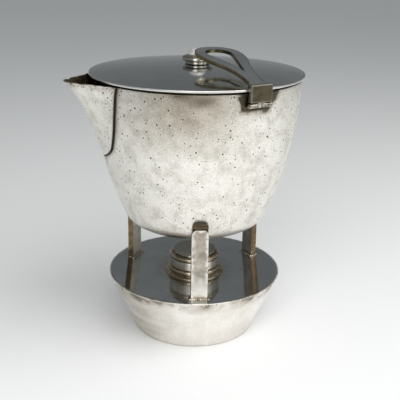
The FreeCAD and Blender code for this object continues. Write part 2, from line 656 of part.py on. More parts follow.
arch = padded("strap_arch", "YZ_Plane", [
    (STRAP_START, strap_height(f"-({STRAP_START})", "strap_sheet"), "strap_curve - strap_sheet", "right"),
    ("0", strap_height("0", "strap_sheet")),
    ("0", strap_height("0", "0"), "strap_curve", "left"),
    (STRAP_START, strap_height(f"-({STRAP_START})", "0")),
], "0", "4 * strap_leaf_half", both=True)
EYE_REACH = "(eye_point - eye_centre)"
EYE_SIDE_X = f"(eye_radius * sqrt(1 - (eye_radius / {EYE_REACH})^2))"
EYE_SIDE_Y = f"-(eye_centre + eye_radius^2 / {EYE_REACH})"
eye = padded("strap_eye", "XY_Plane", [
    ("0", "-eye_point"),
    (EYE_SIDE_X, EYE_SIDE_Y, "eye_radius", "left"),
    ("0", "-eye_centre + eye_radius", "eye_radius", "left"),
    (f"-{EYE_SIDE_X}", EYE_SIDE_Y),
], LID_EDGE, "block_height + 2 * strap_crest_height")
leaf = combine("Common", "strap_leaf_solid", plan, arch)
parts.append(combine("Cut", "lid_strap", leaf, eye))

# Hinge block at the rim, and the middle barrel under it
hinge_box = block("hinge_block_blank", ("-block_width / 2", f"-{BLOCK_FACE} - block_thick", BLOCK_BOTTOM),
                  ("block_width", "block_thick", "block_height"))
doc.recompute()
hinge_block = doc.addObject("Part::Fillet", "hinge_block")
hinge_block.Base = hinge_box
outer_face = -number(BLOCK_FACE) - number("block_thick")
outer_edges = [index for index, edge in enumerate(hinge_box.Shape.Edges, start=1)
               if abs(edge.BoundBox.YMin - outer_face) < 1e-6 and edge.BoundBox.YLength < 1e-3]
hinge_block.Edges = [(index, number("block_round"), number("block_round")) for index in outer_edges]
parts.append(hinge_block)
parts.append(barrel("lid_knuckle", "-lid_knuckle_half", "2 * lid_knuckle_half",
                    "pin_radius + pin_clearance", (f"-{HINGE_Y} - knuckle_radius", HINGE_Z),
                    ("leaf_thick", "knuckle_radius + knuckle_gap - solder_gap")))

doc.recompute()

faults = [item.Label for item in doc.Objects if "Invalid" in item.State or "Error" in item.State]
for part in parts:
    if part.Shape.isNull() or not part.Shape.isValid() or not part.Shape.Solids:
        faults.append(part.Label)
if faults:
    raise RuntimeError("these pieces did not build: " + ", ".join(faults))

os.makedirs("parts", exist_ok=True)
for part in parts:
    part.Shape.exportStep(f"parts/{part.Label}.step")
    box = part.Shape.BoundBox
    print(f"{part.Label:16s} solids {len(part.Shape.Solids)}  volume {part.Shape.Volume:10.2f}"
          f"  z {box.ZMin:7.2f} to {box.ZMax:7.2f}")
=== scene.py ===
"""Looks of a silver-plated coffee pot on its spirit-burner stand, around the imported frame, in metres."""
import bmesh
import bpy
import json
import math
from mathutils import Matrix, Vector, noise

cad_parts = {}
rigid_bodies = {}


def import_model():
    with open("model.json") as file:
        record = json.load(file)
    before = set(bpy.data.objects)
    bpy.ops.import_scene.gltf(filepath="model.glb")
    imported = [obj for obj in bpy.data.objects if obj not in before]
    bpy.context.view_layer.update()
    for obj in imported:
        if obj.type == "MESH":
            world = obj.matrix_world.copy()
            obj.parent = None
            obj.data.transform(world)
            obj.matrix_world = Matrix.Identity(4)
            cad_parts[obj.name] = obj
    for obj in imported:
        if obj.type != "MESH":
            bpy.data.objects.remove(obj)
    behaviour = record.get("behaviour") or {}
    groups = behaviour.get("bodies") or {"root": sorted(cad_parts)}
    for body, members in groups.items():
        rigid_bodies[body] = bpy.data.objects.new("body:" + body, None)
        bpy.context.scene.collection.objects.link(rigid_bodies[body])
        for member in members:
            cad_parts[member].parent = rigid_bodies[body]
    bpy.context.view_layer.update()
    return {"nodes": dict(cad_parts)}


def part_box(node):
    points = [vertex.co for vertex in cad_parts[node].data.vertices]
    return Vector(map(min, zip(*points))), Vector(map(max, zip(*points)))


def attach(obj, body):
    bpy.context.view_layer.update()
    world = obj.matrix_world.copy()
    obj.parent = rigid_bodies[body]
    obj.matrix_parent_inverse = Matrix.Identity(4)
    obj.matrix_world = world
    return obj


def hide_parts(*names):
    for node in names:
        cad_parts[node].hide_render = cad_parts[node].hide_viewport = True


for leftover in list(bpy.data.objects):
    bpy.data.objects.remove(leftover)
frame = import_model()
scene = bpy.context.scene
scene.view_settings.view_transform = "Standard"

# Camera: a little above the lid and near the pot, with the hinge to the right of the middle.
# The view is turned about the pot's axis, because the frame has the hinge on its -Y side.
MM = 0.001
VIEW_TURN = math.radians(-30.5)
EYE_DISTANCE = 390.1 * MM
EYE_HEIGHT = 210.3 * MM
LOOK_DOWN = math.radians(19.32)
LOOK_ASIDE = math.radians(0.40)
LEAN = math.radians(1.01)
FOCAL_SHARE = 1.8385
NEAR_LIMIT = 10 * MM
camera = bpy.data.objects.new("camera", bpy.data.cameras.new("camera"))
camera.data.lens = FOCAL_SHARE * camera.data.sensor_width
camera.data.clip_start = NEAR_LIMIT
ahead = Vector((math.sin(LOOK_ASIDE) * math.cos(LOOK_DOWN), math.cos(LOOK_ASIDE) * math.cos(LOOK_DOWN),
                -math.sin(LOOK_DOWN)))
level = ahead.cross(Vector((0, 0, 1))).normalized()
upright = level.cross(ahead)
right = level * math.cos(LEAN) + upright * math.sin(LEAN)
up = upright * math.cos(LEAN) - level * math.sin(LEAN)
view_turn = Matrix.Rotation(VIEW_TURN, 4, "Z")
camera.matrix_world = (view_turn @ Matrix.Translation((0, -EYE_DISTANCE, EYE_HEIGHT))
                       @ Matrix((right, up, -ahead)).transposed().to_4x4())
scene.collection.objects.link(camera)
scene.camera = camera

# Floor: a wide sheet of pale paper under one soft lamp, so that it is white round the pot
# and falls off to grey behind it.
FLOOR_RADIUS = 4.0
FLOOR_SIDES = 96
FLOOR_DROP = 0.02 * MM
PAPER = (0.90, 0.90, 0.895, 1)
PAPER_FIBRE = (0.885, 0.886, 0.88, 1)
PAPER_ROUGHNESS = 0.85
FIBRE_SCALE = 900.0


def add(tree, kind, sockets=None, **options):
    """Add a node, set its options, then set or link its inputs."""
    made = tree.nodes.new(kind)
    for name, value in options.items():
        setattr(made, name, value)
    for name, value in (sockets or {}).items():
        if isinstance(value, bpy.types.NodeSocket):
            tree.links.new(value, made.inputs[name])
        else:
            made.inputs[name].default_value = value
    return made


def new_finish(name):
    """An empty material with its node tree, its shader and its object coordinates."""
    made = bpy.data.materials.new(name)
    made.use_nodes = True
    tree = made.node_tree
    return made, tree, tree.nodes["Principled BSDF"], add(tree, "ShaderNodeTexCoord").outputs["Object"]


def span(tree, value, low, high, start=0.0, end=1.0):
    """Stretch the part of a value that lies between low and high."""
    return add(tree, "ShaderNodeMapRange", {"Value": value, "From Min": low, "From Max": high,
                                            "To Min": start, "To Max": end}).outputs["Result"]


def blend(tree, share, first, second):
    """A colour between two colours."""
    return add(tree, "ShaderNodeMix", {0: share, 6: first, 7: second}, data_type="RGBA").outputs[2]


def clouds(tree, place, scale, detail=2.0, roughness=0.5):
    """Smooth random values, mostly between 0.3 and 0.7, at a place."""
    return add(tree, "ShaderNodeTexNoise", {"Vector": place, "Scale": scale, "Detail": detail,
                                            "Roughness": roughness}).outputs["Fac"]


def meshed(name, shape):
    """Turn a finished shape into a mesh."""
    made = bpy.data.meshes.new(name)
    shape.to_mesh(made)
    shape.free()
    return made


def linked(name, mesh):
    """A new object in the scene."""
    made = bpy.data.objects.new(name, mesh)
    scene.collection.objects.link(made)
    return made


paper, tree, shader, place = new_finish("pale_paper")
fibre = span(tree, clouds(tree, place, FIBRE_SCALE, detail=3.0), 0.3, 0.7)
tree.links.new(blend(tree, fibre, PAPER, PAPER_FIBRE), shader.inputs["Base Color"])
shader.inputs["Roughness"].default_value = PAPER_ROUGHNESS
shape = bmesh.new()
bmesh.ops.create_circle(shape, cap_ends=True, segments=FLOOR_SIDES, radius=FLOOR_RADIUS,
                        matrix=Matrix.Translation((0, 0, -FLOOR_DROP)))
floor_mesh = meshed("floor", shape)
floor_mesh.materials.append(paper)
linked("floor", floor_mesh)

# Light: one large soft lamp over the right shoulder of the pot, a weaker one in front of it,
# and a studio that is grey behind the pot and darker towards its ceiling.
LAMPS = [("key_lamp", (0.41, -0.29, 0.66), 0.90, 4.9), ("front_lamp", (-0.10, -0.65, 0.55), 0.60, 2.8)]
LAMP_AIM = Vector((0, 0, 60 * MM))
STUDIO_GREYS = [(0.0, 0.30), (0.48, 0.27), (0.60, 0.19), (0.72, 0.16), (0.86, 0.20), (1.0, 0.34)]
STUDIO_TINT = (0.96, 1.0, 1.01)
AMBIENT = (0.315, 0.330, 0.336, 1)


def reckon(tree, operation, first, second=0.0):
    """One step of arithmetic between sockets or numbers."""
    return add(tree, "ShaderNodeMath", {0: first, 1: second}, operation=operation).outputs[0]


for name, spot, size, power in LAMPS:
    lamp = bpy.data.objects.new(name, bpy.data.lights.new(name, "AREA"))
    lamp.data.shape = "DISK"
    lamp.data.size = size
    lamp.data.energy = power
    lamp.location = view_turn @ Vector(spot)
    lamp.rotation_mode = "QUATERNION"
    lamp.rotation_quaternion = (LAMP_AIM - lamp.location).to_track_quat("-Z", "Y")
    scene.collection.objects.link(lamp)
world = bpy.data.worlds.new("studio")
scene.world = world
world.use_nodes = True
tree = world.node_tree
skyward = add(tree, "ShaderNodeTexCoord").outputs["Generated"]
rise = add(tree, "ShaderNodeSeparateXYZ", {0: skyward}).outputs["Z"]
ramp = add(tree, "ShaderNodeValToRGB", {"Fac": span(tree, rise, -1.0, 1.0)})
while len(ramp.color_ramp.elements) < len(STUDIO_GREYS):
    ramp.color_ramp.elements.new(0.5)
for stop, (height, grey) in zip(ramp.color_ramp.elements, STUDIO_GREYS):
    stop.position = height
    stop.color = (*(grey * tint for tint in STUDIO_TINT), 1)
path = add(tree, "ShaderNodeLightPath").outputs
seen = reckon(tree, "MAXIMUM", path["Is Camera Ray"], path["Is Glossy Ray"])
seen = reckon(tree, "MAXIMUM", seen, path["Is Transmission Ray"])
tree.links.new(blend(tree, seen, AMBIENT, ramp.outputs["Color"]), tree.nodes["Background"].inputs["Color"])

# Base bowl: sheet brass spun over a former, silver plated and left satin, its foot corner rounded.
# It stands on the table and holds the fuel; the rim is worn and has brown specks along it, one side has a
# streaky smear that is partly a painted dark reflection, and painted shade darkens it towards the foot.
SATIN = (0.95, 0.925, 0.88, 1)
SATIN_SHADE = (0.79, 0.755, 0.70, 1)
# Brown and near black serve both for tarnish and for painted shade and painted dark reflections.
BROWN_TARNISH_AND_SHADE = (0.30, 0.24, 0.16, 1)
DARK_TARNISH_AND_SHADE = (0.06, 0.05, 0.035, 1)
SPECK_BLACK = (0.025, 0.022, 0.018, 1)
RUBBED_WHITE = (0.92, 0.90, 0.855, 1)
DEEP_SHADE = 0.8
GRAIN_FINENESS = 8.0
PIT_CLOUD_SCALE = 28.0
PIT_THINNING = 0.35
SMALLEST_PIT = 0.45
RING_GLEAM = 0.4
EATEN_SPACING = 1.5 * MM
EATEN_SIZE = 0.5 * MM
PIT_METALLIC = 0.15
PLATE_RELIEF = 0.12 * MM


def new_group(name, kind, inputs, outputs):
    """A node group whose sockets have names and types: its tree and its input sockets."""
    group = bpy.data.node_groups.new(name, kind)
    for way, sockets in (("INPUT", inputs), ("OUTPUT", outputs)):
        for label, sort in sockets.items():
            group.interface.new_socket(label, in_out=way, socket_type="NodeSocket" + sort)
    return group, add(group, "NodeGroupInput").outputs


# Patches of old plating, and the fine grain inside them
mottling, given = new_group("plating_mottle", "ShaderNodeTree", {"Place": "Vector", "Patches": "Float"},
                            {"Patch": "Float", "Grain": "Float"})
fine = reckon(mottling, "MULTIPLY", given["Patches"], GRAIN_FINENESS)
patch = clouds(mottling, given["Place"], given["Patches"], detail=6.0, roughness=0.62)
grain = clouds(mottling, given["Place"], fine, detail=5.0, roughness=0.7)
add(mottling, "NodeGroupOutput", {"Patch": span(mottling, patch, 0.36, 0.64),
                                  "Grain": span(mottling, grain, 0.38, 0.64)})

# Fine lines left by polishing, along the direction in which the place is stretched least
brushing, given = new_group("polish_lines", "ShaderNodeTree", {"Place": "Vector", "Stretch": "Vector"},
                            {"Line": "Float"})
drawn = add(brushing, "ShaderNodeVectorMath", {0: given["Place"], 1: given["Stretch"]}, operation="MULTIPLY")
line = clouds(brushing, drawn.outputs[0], 1.0, detail=4.0, roughness=0.7)
add(brushing, "NodeGroupOutput", {"Line": span(brushing, line, 0.3, 0.7)})

# Corrosion pits: round black holes with a pale ring, thicker in some places than in others
pitting, given = new_group("corrosion_pits", "ShaderNodeTree",
                           {"Place": "Vector", "Spacing": "Float", "Size": "Float", "Share": "Float"},
                           {"Pit": "Float", "Ring": "Float"})
cell = add(pitting, "ShaderNodeTexVoronoi", {"Vector": given["Place"],
                                             "Scale": reckon(pitting, "DIVIDE", 1.0, given["Spacing"])})
away = reckon(pitting, "MULTIPLY", cell.outputs["Distance"], given["Spacing"])
chance = add(pitting, "ShaderNodeSeparateColor", {0: cell.outputs["Color"]}).outputs
thick = span(pitting, clouds(pitting, given["Place"], PIT_CLOUD_SCALE), 0.35, 0.62, PIT_THINNING, 1.0)
lucky = reckon(pitting, "LESS_THAN", chance["Red"], reckon(pitting, "MULTIPLY", given["Share"], thick))
size_share = span(pitting, chance["Green"], 0.0, 1.0, SMALLEST_PIT, 1.0)
reach = reckon(pitting, "MULTIPLY", given["Size"], size_share)
near = reckon(pitting, "DIVIDE", away, reach)
pit = reckon(pitting, "MULTIPLY", span(pitting, near, 0.75, 1.0, 1.0, 0.0), lucky)
ring = reckon(pitting, "MULTIPLY", span(pitting, near, 1.2, 2.6, 1.0, 0.0), lucky)
add(pitting, "NodeGroupOutput", {"Pit": pit, "Ring": reckon(pitting, "SUBTRACT", ring, pit)})


def use(tree, group, **sockets):
    """Place a shader node group in a material."""
    return add(tree, "ShaderNodeGroup", sockets, node_tree=group).outputs


def painted(tree, layer):
    """A value that was painted on the mesh."""
    return add(tree, "ShaderNodeAttribute", attribute_name=layer).outputs["Fac"]


def emboss(tree, shader, height, strength, depth):
    """Raise or sink the surface by a height."""
    bump = add(tree, "ShaderNodeBump", {"Height": height, "Strength": strength, "Distance": depth})
    tree.links.new(bump.outputs["Normal"], shader.inputs["Normal"])


def silver_plate(name, bright, shade, roughness, stretch, pit_share=0.0, pit_size=0.35 * MM,
                 pit_spacing=3.3 * MM, patches=75.0, grain=0.18, lined=0.0, bare=0.0, clean=1.0):
    """Old silver plate: mottled, brushed and pitted, and brown or near black with tarnish and painted shade,
    rubbed or eaten, where its mesh says so.
    """
    made, tree, shader, place = new_finish(name)
    old = use(tree, mottling, Place=place, Patches=patches)
    lines = use(tree, brushing, Place=place, Stretch=stretch)["Line"]
    pits = use(tree, pitting, Place=place, Spacing=pit_spacing, Size=pit_size, Share=pit_share)
    eaten = use(tree, pitting, Place=place, Spacing=EATEN_SPACING, Size=EATEN_SIZE,
                Share=painted(tree, "eaten"))["Pit"]
    hole = reckon(tree, "MAXIMUM", pits["Pit"], eaten)
    uneven = span(tree, old["Grain"], 0.0, 1.0, 0.75, 1.0)
    tarnish_and_shade = painted(tree, "tarnish_and_shade")
    deep_shade = (*(DEEP_SHADE * part for part in shade[:3]), 1)
    colour = blend(tree, span(tree, old["Patch"], bare, 1.0, 0.0, 0.75), bright, shade)
    colour = blend(tree, reckon(tree, "MULTIPLY", old["Grain"], grain), colour, deep_shade)
    colour = blend(tree, reckon(tree, "MULTIPLY", lines, lined), colour, deep_shade)
    colour = blend(tree, reckon(tree, "MULTIPLY", pits["Ring"], RING_GLEAM), colour, bright)
    # Brown, and near black where the painted value is high: tarnish, and on some pieces painted shade and
    # painted dark reflections.
    colour = blend(tree, reckon(tree, "MULTIPLY", tarnish_and_shade, uneven), colour, BROWN_TARNISH_AND_SHADE)
    colour = blend(tree, span(tree, tarnish_and_shade, 0.75, 1.0, 0.0, 0.85), colour, DARK_TARNISH_AND_SHADE)
    colour = blend(tree, reckon(tree, "MULTIPLY", painted(tree, "rub"), uneven), colour, RUBBED_WHITE)
    colour = blend(tree, hole, colour, SPECK_BLACK)
    tree.links.new(colour, shader.inputs["Base Color"])
    rough = span(tree, old["Patch"], 0.0, 1.0, roughness - 0.06, roughness + 0.08)
    rough = reckon(tree, "ADD", rough, reckon(tree, "MULTIPLY", lines, 0.06))
    tree.links.new(rough, shader.inputs["Roughness"])
    tree.links.new(span(tree, hole, 0.0, 1.0, clean, PIT_METALLIC), shader.inputs["Metallic"])
    raised = reckon(tree, "SUBTRACT", reckon(tree, "MULTIPLY", lines, 0.12), hole)
    raised = reckon(tree, "ADD", raised, reckon(tree, "MULTIPLY", old["Grain"], 0.10 + 0.3 * grain))
    emboss(tree, shader, raised, 0.35, PLATE_RELIEF)
    return made


def closed(tree, mesh, metal, label):
    """End a geometry nodes tree: its instances are made real and given one metal."""
    mesh = add(tree, "GeometryNodeRealizeInstances", {"Geometry": mesh}).outputs[0]
    mesh = add(tree, "GeometryNodeSetMaterial", {"Geometry": mesh, "Material": metal}).outputs[0]
    add(tree, "NodeGroupOutput", {label: mesh})
    return tree


def lathe_tree():
    """Geometry nodes that turn a profile, given as points in the XZ plane, about Z."""
    tree, given = new_group("turning_lathe", "GeometryNodeTree",
                            {"Profile": "Geometry", "Steps round": "Int", "Metal": "Material"},
                            {"Piece": "Geometry"})
    size = add(tree, "GeometryNodeAttributeDomainSize", {"Geometry": given["Profile"]})
    count = size.outputs["Point Count"]
    grid = add(tree, "GeometryNodeMeshGrid", {"Vertices X": reckon(tree, "ADD", given["Steps round"], 1.0),
                                              "Vertices Y": count}).outputs["Mesh"]
    index = add(tree, "GeometryNodeInputIndex").outputs["Index"]
    along = reckon(tree, "FLOORED_MODULO", index, count)
    step = reckon(tree, "DIVIDE", reckon(tree, "SUBTRACT", index, along), count)
    angle = reckon(tree, "DIVIDE", reckon(tree, "MULTIPLY", step, 2 * math.pi), given["Steps round"])
    point = add(tree, "GeometryNodeSampleIndex",
                {"Geometry": given["Profile"], "Value": add(tree, "GeometryNodeInputPosition").outputs[0],
                 "Index": along}, data_type="FLOAT_VECTOR", domain="POINT").outputs["Value"]
    turned = add(tree, "ShaderNodeVectorRotate", {"Vector": point, "Angle": angle}, rotation_type="Z_AXIS")
    mesh = add(tree, "GeometryNodeSetPosition", {"Geometry": grid, "Position": turned.outputs[0]}).outputs[0]
    mesh = add(tree, "GeometryNodeMergeByDistance", {"Geometry": mesh, "Distance": 0.0005 * MM}).outputs[0]
    return closed(tree, mesh, given["Metal"], "Piece")


LATHE = lathe_tree()


def grown(name, source, tree, **settings):
    """Run a geometry nodes tree on a mesh, and keep what it makes as a plain piece with one metal."""
    raw = linked(name + "_source", source)
    maker = raw.modifiers.new("maker", "NODES")
    maker.node_group = tree
    for socket in tree.interface.items_tree:
        label = socket.name.replace(" ", "_")
        if socket.in_out == "INPUT" and label in settings:
            maker[socket.identifier] = settings[label]
    made = bpy.data.meshes.new_from_object(raw.evaluated_get(bpy.context.evaluated_depsgraph_get()))
    bpy.data.objects.remove(raw)
    metals = [metal for metal in made.materials if metal]
    made.materials.clear()
    for metal in metals:
        made.materials.append(metal)
    made.polygons.foreach_set("material_index", [0] * len(made.polygons))
    return linked(name, made)


def smooth(piece, crease=38.0):
    """Shade a piece smooth, apart from edges that turn by more than the crease in degrees."""
    piece.data.shade_smooth()
    piece.data.set_sharp_from_angle(angle=math.radians(crease))
    return piece


def rounded(corners, steps=5, limit=0.48):
    """Points of an outline whose corners, (radius, height, round), are rounded where they say so."""
    points = []
    for index, corner in enumerate(corners):
        here = Vector(corner[:2])
        if len(corner) == 2 or index in (0, len(corners) - 1):
            points.append(here)
            continue
        before = Vector(corners[index - 1][:2]) - here
        after = Vector(corners[index + 1][:2]) - here
        cut = corner[2] / math.tan(before.angle(after) / 2)
        start = here + before.normalized() * min(cut, limit * before.length)
        end = here + after.normalized() * min(cut, limit * after.length)
        for step in range(steps + 1):
            share = step / steps
            points.append(start * (1 - share)**2 + here * (2 * share * (1 - share)) + end * share**2)
    return points


def between(start, end, steps):
    """Points along a straight line, without its ends."""
    return [tuple(Vector(start).lerp(Vector(end), step / steps)) for step in range(1, steps)]


def spun(name, points, metal, steps):
    """A piece of revolution from its outline in radius and height."""
    source = bpy.data.meshes.new(name + "_outline")
    source.from_pydata([(radius, 0.0, height) for radius, height in points], [], [])
    return smooth(grown(name, source, LATHE, Steps_round=steps, Metal=metal))


def hand_worked(piece, depth, size):
    """Press shallow dents into a piece, as hand finishing leaves them."""
    outward = [vertex.normal.copy() for vertex in piece.data.vertices]
    for vertex, direction in zip(piece.data.vertices, outward):
        press = 0.5 + 0.5 * noise.noise(vertex.co / size)
        vertex.co -= direction * (depth * max(0.0, min(1.0, press)))


def paint(piece, layer, rule):
    """Give each vertex a value from 0 to 1 by a rule on its place."""
    values = piece.data.attributes.new(layer, "FLOAT", "POINT").data
    for vertex, value in zip(piece.data.vertices, values):
        value.value = max(0.0, min(1.0, rule(vertex.co)))


def rough_share(spot, size, seed):
    """A smooth random share from 0 to 1 at a place."""
    return 0.5 + 0.5 * noise.noise(spot / size + Vector((seed, 0.0, 0.0)))


def blotch(spot, size, seed, floor):
    """What a smooth random share at a place has above a floor, so that blotches stand apart."""
    return max(0.0, rough_share(spot, size, seed) - floor)


def fade(distance, reach):
    """1 at no distance, falling to 0 at the reach."""
    return max(0.0, 1 - distance / reach)


BOWL_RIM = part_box("base_bowl")[1].x
BOWL_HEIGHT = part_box("base_bowl")[1].z
BOWL_FOOT = 34.6 * MM
BOWL_FOOT_ROUND = 2.5 * MM
BOWL_SHEET = 1.0 * MM
BOWL_LEAN = math.hypot(BOWL_RIM - BOWL_FOOT, BOWL_HEIGHT) / BOWL_HEIGHT
EDGE = 0.3 * MM
LARGE_STEPS = 224
REFLECTION_SMEAR_ANGLE = math.radians(180)
REFLECTION_SMEAR_SPREAD = math.radians(48)
RIM_STAIN_DEPTH = 8 * MM
RIM_RUB_DEPTH = 1.0 * MM
RIM_EATEN_DEPTH = 6 * MM
FOOT_SHADE_HEIGHT = 13 * MM
bowl_inner_rim = BOWL_RIM - BOWL_SHEET * BOWL_LEAN
bowl_inner_foot = BOWL_FOOT + (BOWL_RIM - BOWL_FOOT) * BOWL_SHEET / BOWL_HEIGHT - BOWL_SHEET * BOWL_LEAN
bowl_metal = silver_plate("satin_plate", SATIN, SATIN_SHADE, roughness=0.33, stretch=(60.0, 60.0, 1900.0),
                          pit_share=0.10, pit_size=0.30 * MM)
bowl_outline = rounded([
    (0.0, 0.0), *between((0.0, 0.0), (BOWL_FOOT, 0.0), 6), (BOWL_FOOT, 0.0, BOWL_FOOT_ROUND),
    *between((BOWL_FOOT, 0.0), (BOWL_RIM, BOWL_HEIGHT), 24), (BOWL_RIM, BOWL_HEIGHT, EDGE),
    (bowl_inner_rim, BOWL_HEIGHT, EDGE), (bowl_inner_foot, BOWL_SHEET), (0.0, BOWL_SHEET)])
bowl = spun("bowl_spun", bowl_outline, bowl_metal, LARGE_STEPS)
hand_worked(bowl, depth=0.06 * MM, size=22 * MM)


def turned_away(spot, angle, spread):
    """1 where a place lies at an angle round the axis, falling to 0 at the spread."""
    away = Vector((spot.x, spot.y)).angle(Vector((math.cos(angle), math.sin(angle))), 0.0)
    return max(0.0, 1 - (away / spread)**2)


def bowl_tarnish_and_shade(spot):
    """Brown specks along the rim, a streaky smear on one side that is partly a painted dark reflection, and
    painted shade towards the foot.
    """
    specks = 2.2 * blotch(spot, size=11 * MM, seed=3.0, floor=0.2)
    specks += 1.9 * blotch(spot, size=3 * MM, seed=1.0, floor=0.45)
    rim = specks * fade(BOWL_HEIGHT - spot.z, RIM_STAIN_DEPTH)
    streak = rough_share(Vector((spot.x, spot.y, 4.0 * spot.z)), size=17 * MM, seed=5.0)
    # A streaky smear on one side: partly tarnish, partly a painted dark reflection.
    smear_and_painted_reflection = 0.85 * turned_away(spot, REFLECTION_SMEAR_ANGLE, REFLECTION_SMEAR_SPREAD) * streak
    # Painted shade, darker towards the foot.
    faint_darkening = 0.20 * fade(spot.z, FOOT_SHADE_HEIGHT)
    return max(min(rim, 0.9), smear_and_painted_reflection, faint_darkening)


def bowl_rub(spot):
    """White wear along the edge of the rim."""
    return 1.6 * fade(BOWL_HEIGHT - spot.z, RIM_RUB_DEPTH) * rough_share(spot, size=5 * MM, seed=6.0)


def bowl_eaten(spot):
    """Fine corrosion below the rim."""
    return 1.2 * fade(BOWL_HEIGHT - spot.z, RIM_EATEN_DEPTH) * rough_share(spot, size=8 * MM, seed=4.0)


paint(bowl, "tarnish_and_shade", bowl_tarnish_and_shade)
paint(bowl, "rub", bowl_rub)
paint(bowl, "eaten", bowl_eaten)
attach(bowl, "stand")
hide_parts("base_bowl")

# Top plate: a slightly dished disc soldered inside the bowl's rim, with a hole for the burner's socket.
# It is polished like a mirror and shows the legs and the burner, with some dark specks.
MIRROR = (0.63, 0.65, 0.655, 1)
MIRROR_DULL = (0.50, 0.51, 0.505, 1)
MIRROR_PATCHES = 60.0
WIPE_STRETCH = (500.0, 120.0, 300.0)
MIRROR_PIT_SPACING = 4.5 * MM
MIRROR_PIT_METALLIC = 0.2
MIRROR_RELIEF = 0.1 * MM


def mirror_plate(name, bright, dull, roughness, pit_share, pit_size=0.42 * MM):
    """Polished silver plate: a mirror with faint clouds, wipe marks and a few specks."""
    made, tree, shader, place = new_finish(name)
    old = use(tree, mottling, Place=place, Patches=MIRROR_PATCHES)
    wiped = use(tree, brushing, Place=place, Stretch=WIPE_STRETCH)["Line"]
    pits = use(tree, pitting, Place=place, Spacing=MIRROR_PIT_SPACING, Size=pit_size, Share=pit_share)
    tarnish_and_shade = painted(tree, "tarnish_and_shade")
    colour = blend(tree, reckon(tree, "MULTIPLY", old["Patch"], 0.5), bright, dull)
    # Brown where painted: tarnish on the plate, a painted dark reflection on the knob's slope.
    colour = blend(tree, tarnish_and_shade, colour, BROWN_TARNISH_AND_SHADE)
    # Near black where painted along an outline: painted shade on the strap.
    colour = blend(tree, painted(tree, "border"), colour, DARK_TARNISH_AND_SHADE)
    colour = blend(tree, pits["Pit"], colour, SPECK_BLACK)
    tree.links.new(colour, shader.inputs["Base Color"])
    rough = span(tree, old["Patch"], 0.0, 1.0, roughness, roughness + 0.05)
    rough = reckon(tree, "ADD", rough, reckon(tree, "MULTIPLY", wiped, 0.03))
    rough = reckon(tree, "ADD", rough, reckon(tree, "MULTIPLY", tarnish_and_shade, 0.2))
    tree.links.new(rough, shader.inputs["Roughness"])
    tree.links.new(span(tree, pits["Pit"], 0.0, 1.0, 1.0, MIRROR_PIT_METALLIC), shader.inputs["Metallic"])
    raised = reckon(tree, "SUBTRACT", reckon(tree, "MULTIPLY", wiped, 0.05), pits["Pit"])
    emboss(tree, shader, raised, 0.12, MIRROR_RELIEF)
    return made


PLATE_DISH = 2.0 * MM
PLATE_SHEET = 0.9 * MM
PLATE_HOLE = 10.73 * MM
PLATE_RINGS = 40
PLATE_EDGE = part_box("base_top_plate")[1].x
LEG_ANGLES = {"front": 243.5, "right": 3.5, "rear": 123.5}
LEG_INNER = 38.0 * MM
LEG_THICK = 3.6 * MM
BLOOM_RADIUS = 17.0 * MM
BLOOM_REACH = 8.0 * MM
plate_bow = (PLATE_EDGE**2 + PLATE_DISH**2) / (2 * PLATE_DISH)
leg_turns = {name: Matrix.Rotation(math.radians(angle), 3, "Z") for name, angle in LEG_ANGLES.items()}
leg_feet = [turn @ Vector((LEG_INNER + LEG_THICK / 2, 0, 0)) for turn in leg_turns.values()]


def plate_top(radius):
    """Height of the dished plate's upper face."""
    return BOWL_HEIGHT - PLATE_DISH + plate_bow - math.sqrt(plate_bow**2 - radius**2)


def plate_tarnish(spot):
    """Brown bloom round the burner and round the feet of the legs."""
    burner = math.hypot(spot.x, spot.y) - BLOOM_RADIUS
    foot = min(math.hypot(spot.x - leg.x, spot.y - leg.y) for leg in leg_feet)
    near = max(0.6 * fade(max(burner, 0.0), BLOOM_REACH), 0.9 * fade(foot, BLOOM_REACH))
    return near * (0.3 + 1.1 * blotch(spot, size=4 * MM, seed=21.0, floor=0.25))


plate_width = PLATE_EDGE - PLATE_HOLE
plate_radii = [PLATE_HOLE + plate_width * step / PLATE_RINGS for step in range(PLATE_RINGS + 1)]
plate_lip = (BOWL_RIM - BOWL_FOOT) * PLATE_SHEET / BOWL_HEIGHT
plate_outline = [(radius, plate_top(radius)) for radius in reversed(plate_radii)]
for radius in (PLATE_HOLE, PLATE_EDGE - plate_lip):
    plate_outline.append((radius, plate_top(radius) - PLATE_SHEET))
plate_outline.append(plate_outline[0])
plate_metal = mirror_plate("polished_plate", MIRROR, MIRROR_DULL, roughness=0.045, pit_share=0.40,
                           pit_size=0.95 * MM)
plate = spun("plate_polished", plate_outline, plate_metal, LARGE_STEPS)
hand_worked(plate, depth=0.025 * MM, size=30 * MM)
paint(plate, "tarnish_and_shade", plate_tarnish)
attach(plate, "stand")
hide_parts("base_top_plate")

# Legs: three flat bars of drawn brass, soldered upright on the plate and hollowed at the top to the pot.
# Their fronts are brushed, the edges worn bright, and the sides brown with heat and old polish.
LEG_WIDTH = 9.0 * MM
LEG_TOP = 71.8 * MM
LEG_CORNER = 3.4 * MM
LEG_SEAT = 1.15 * MM
LEG_COLUMNS = 20
LEG_ROWS = 64
LEG_WEAR = 0.45 * MM
RAGGED_DEPTH = 0.10 * MM
FOOT_STAIN_HEIGHT = 3.0 * MM
FACE_DEPTH = 0.25 * MM
FACE_MARGIN = 0.4 * MM
FOOT_RUB_HEIGHT = 6 * MM
FOOT_RUB_REACH = 7 * MM
POT_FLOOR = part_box("pot_body")[0].z
POT_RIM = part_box("pot_body")[1].z
POT_RIM_RADIUS = 55.5 * MM
POT_BOW = 180.0 * MM
POT_CORNER = 11.0 * MM
bow_centre = POT_RIM_RADIUS - POT_BOW
corner_height = POT_FLOOR + POT_CORNER
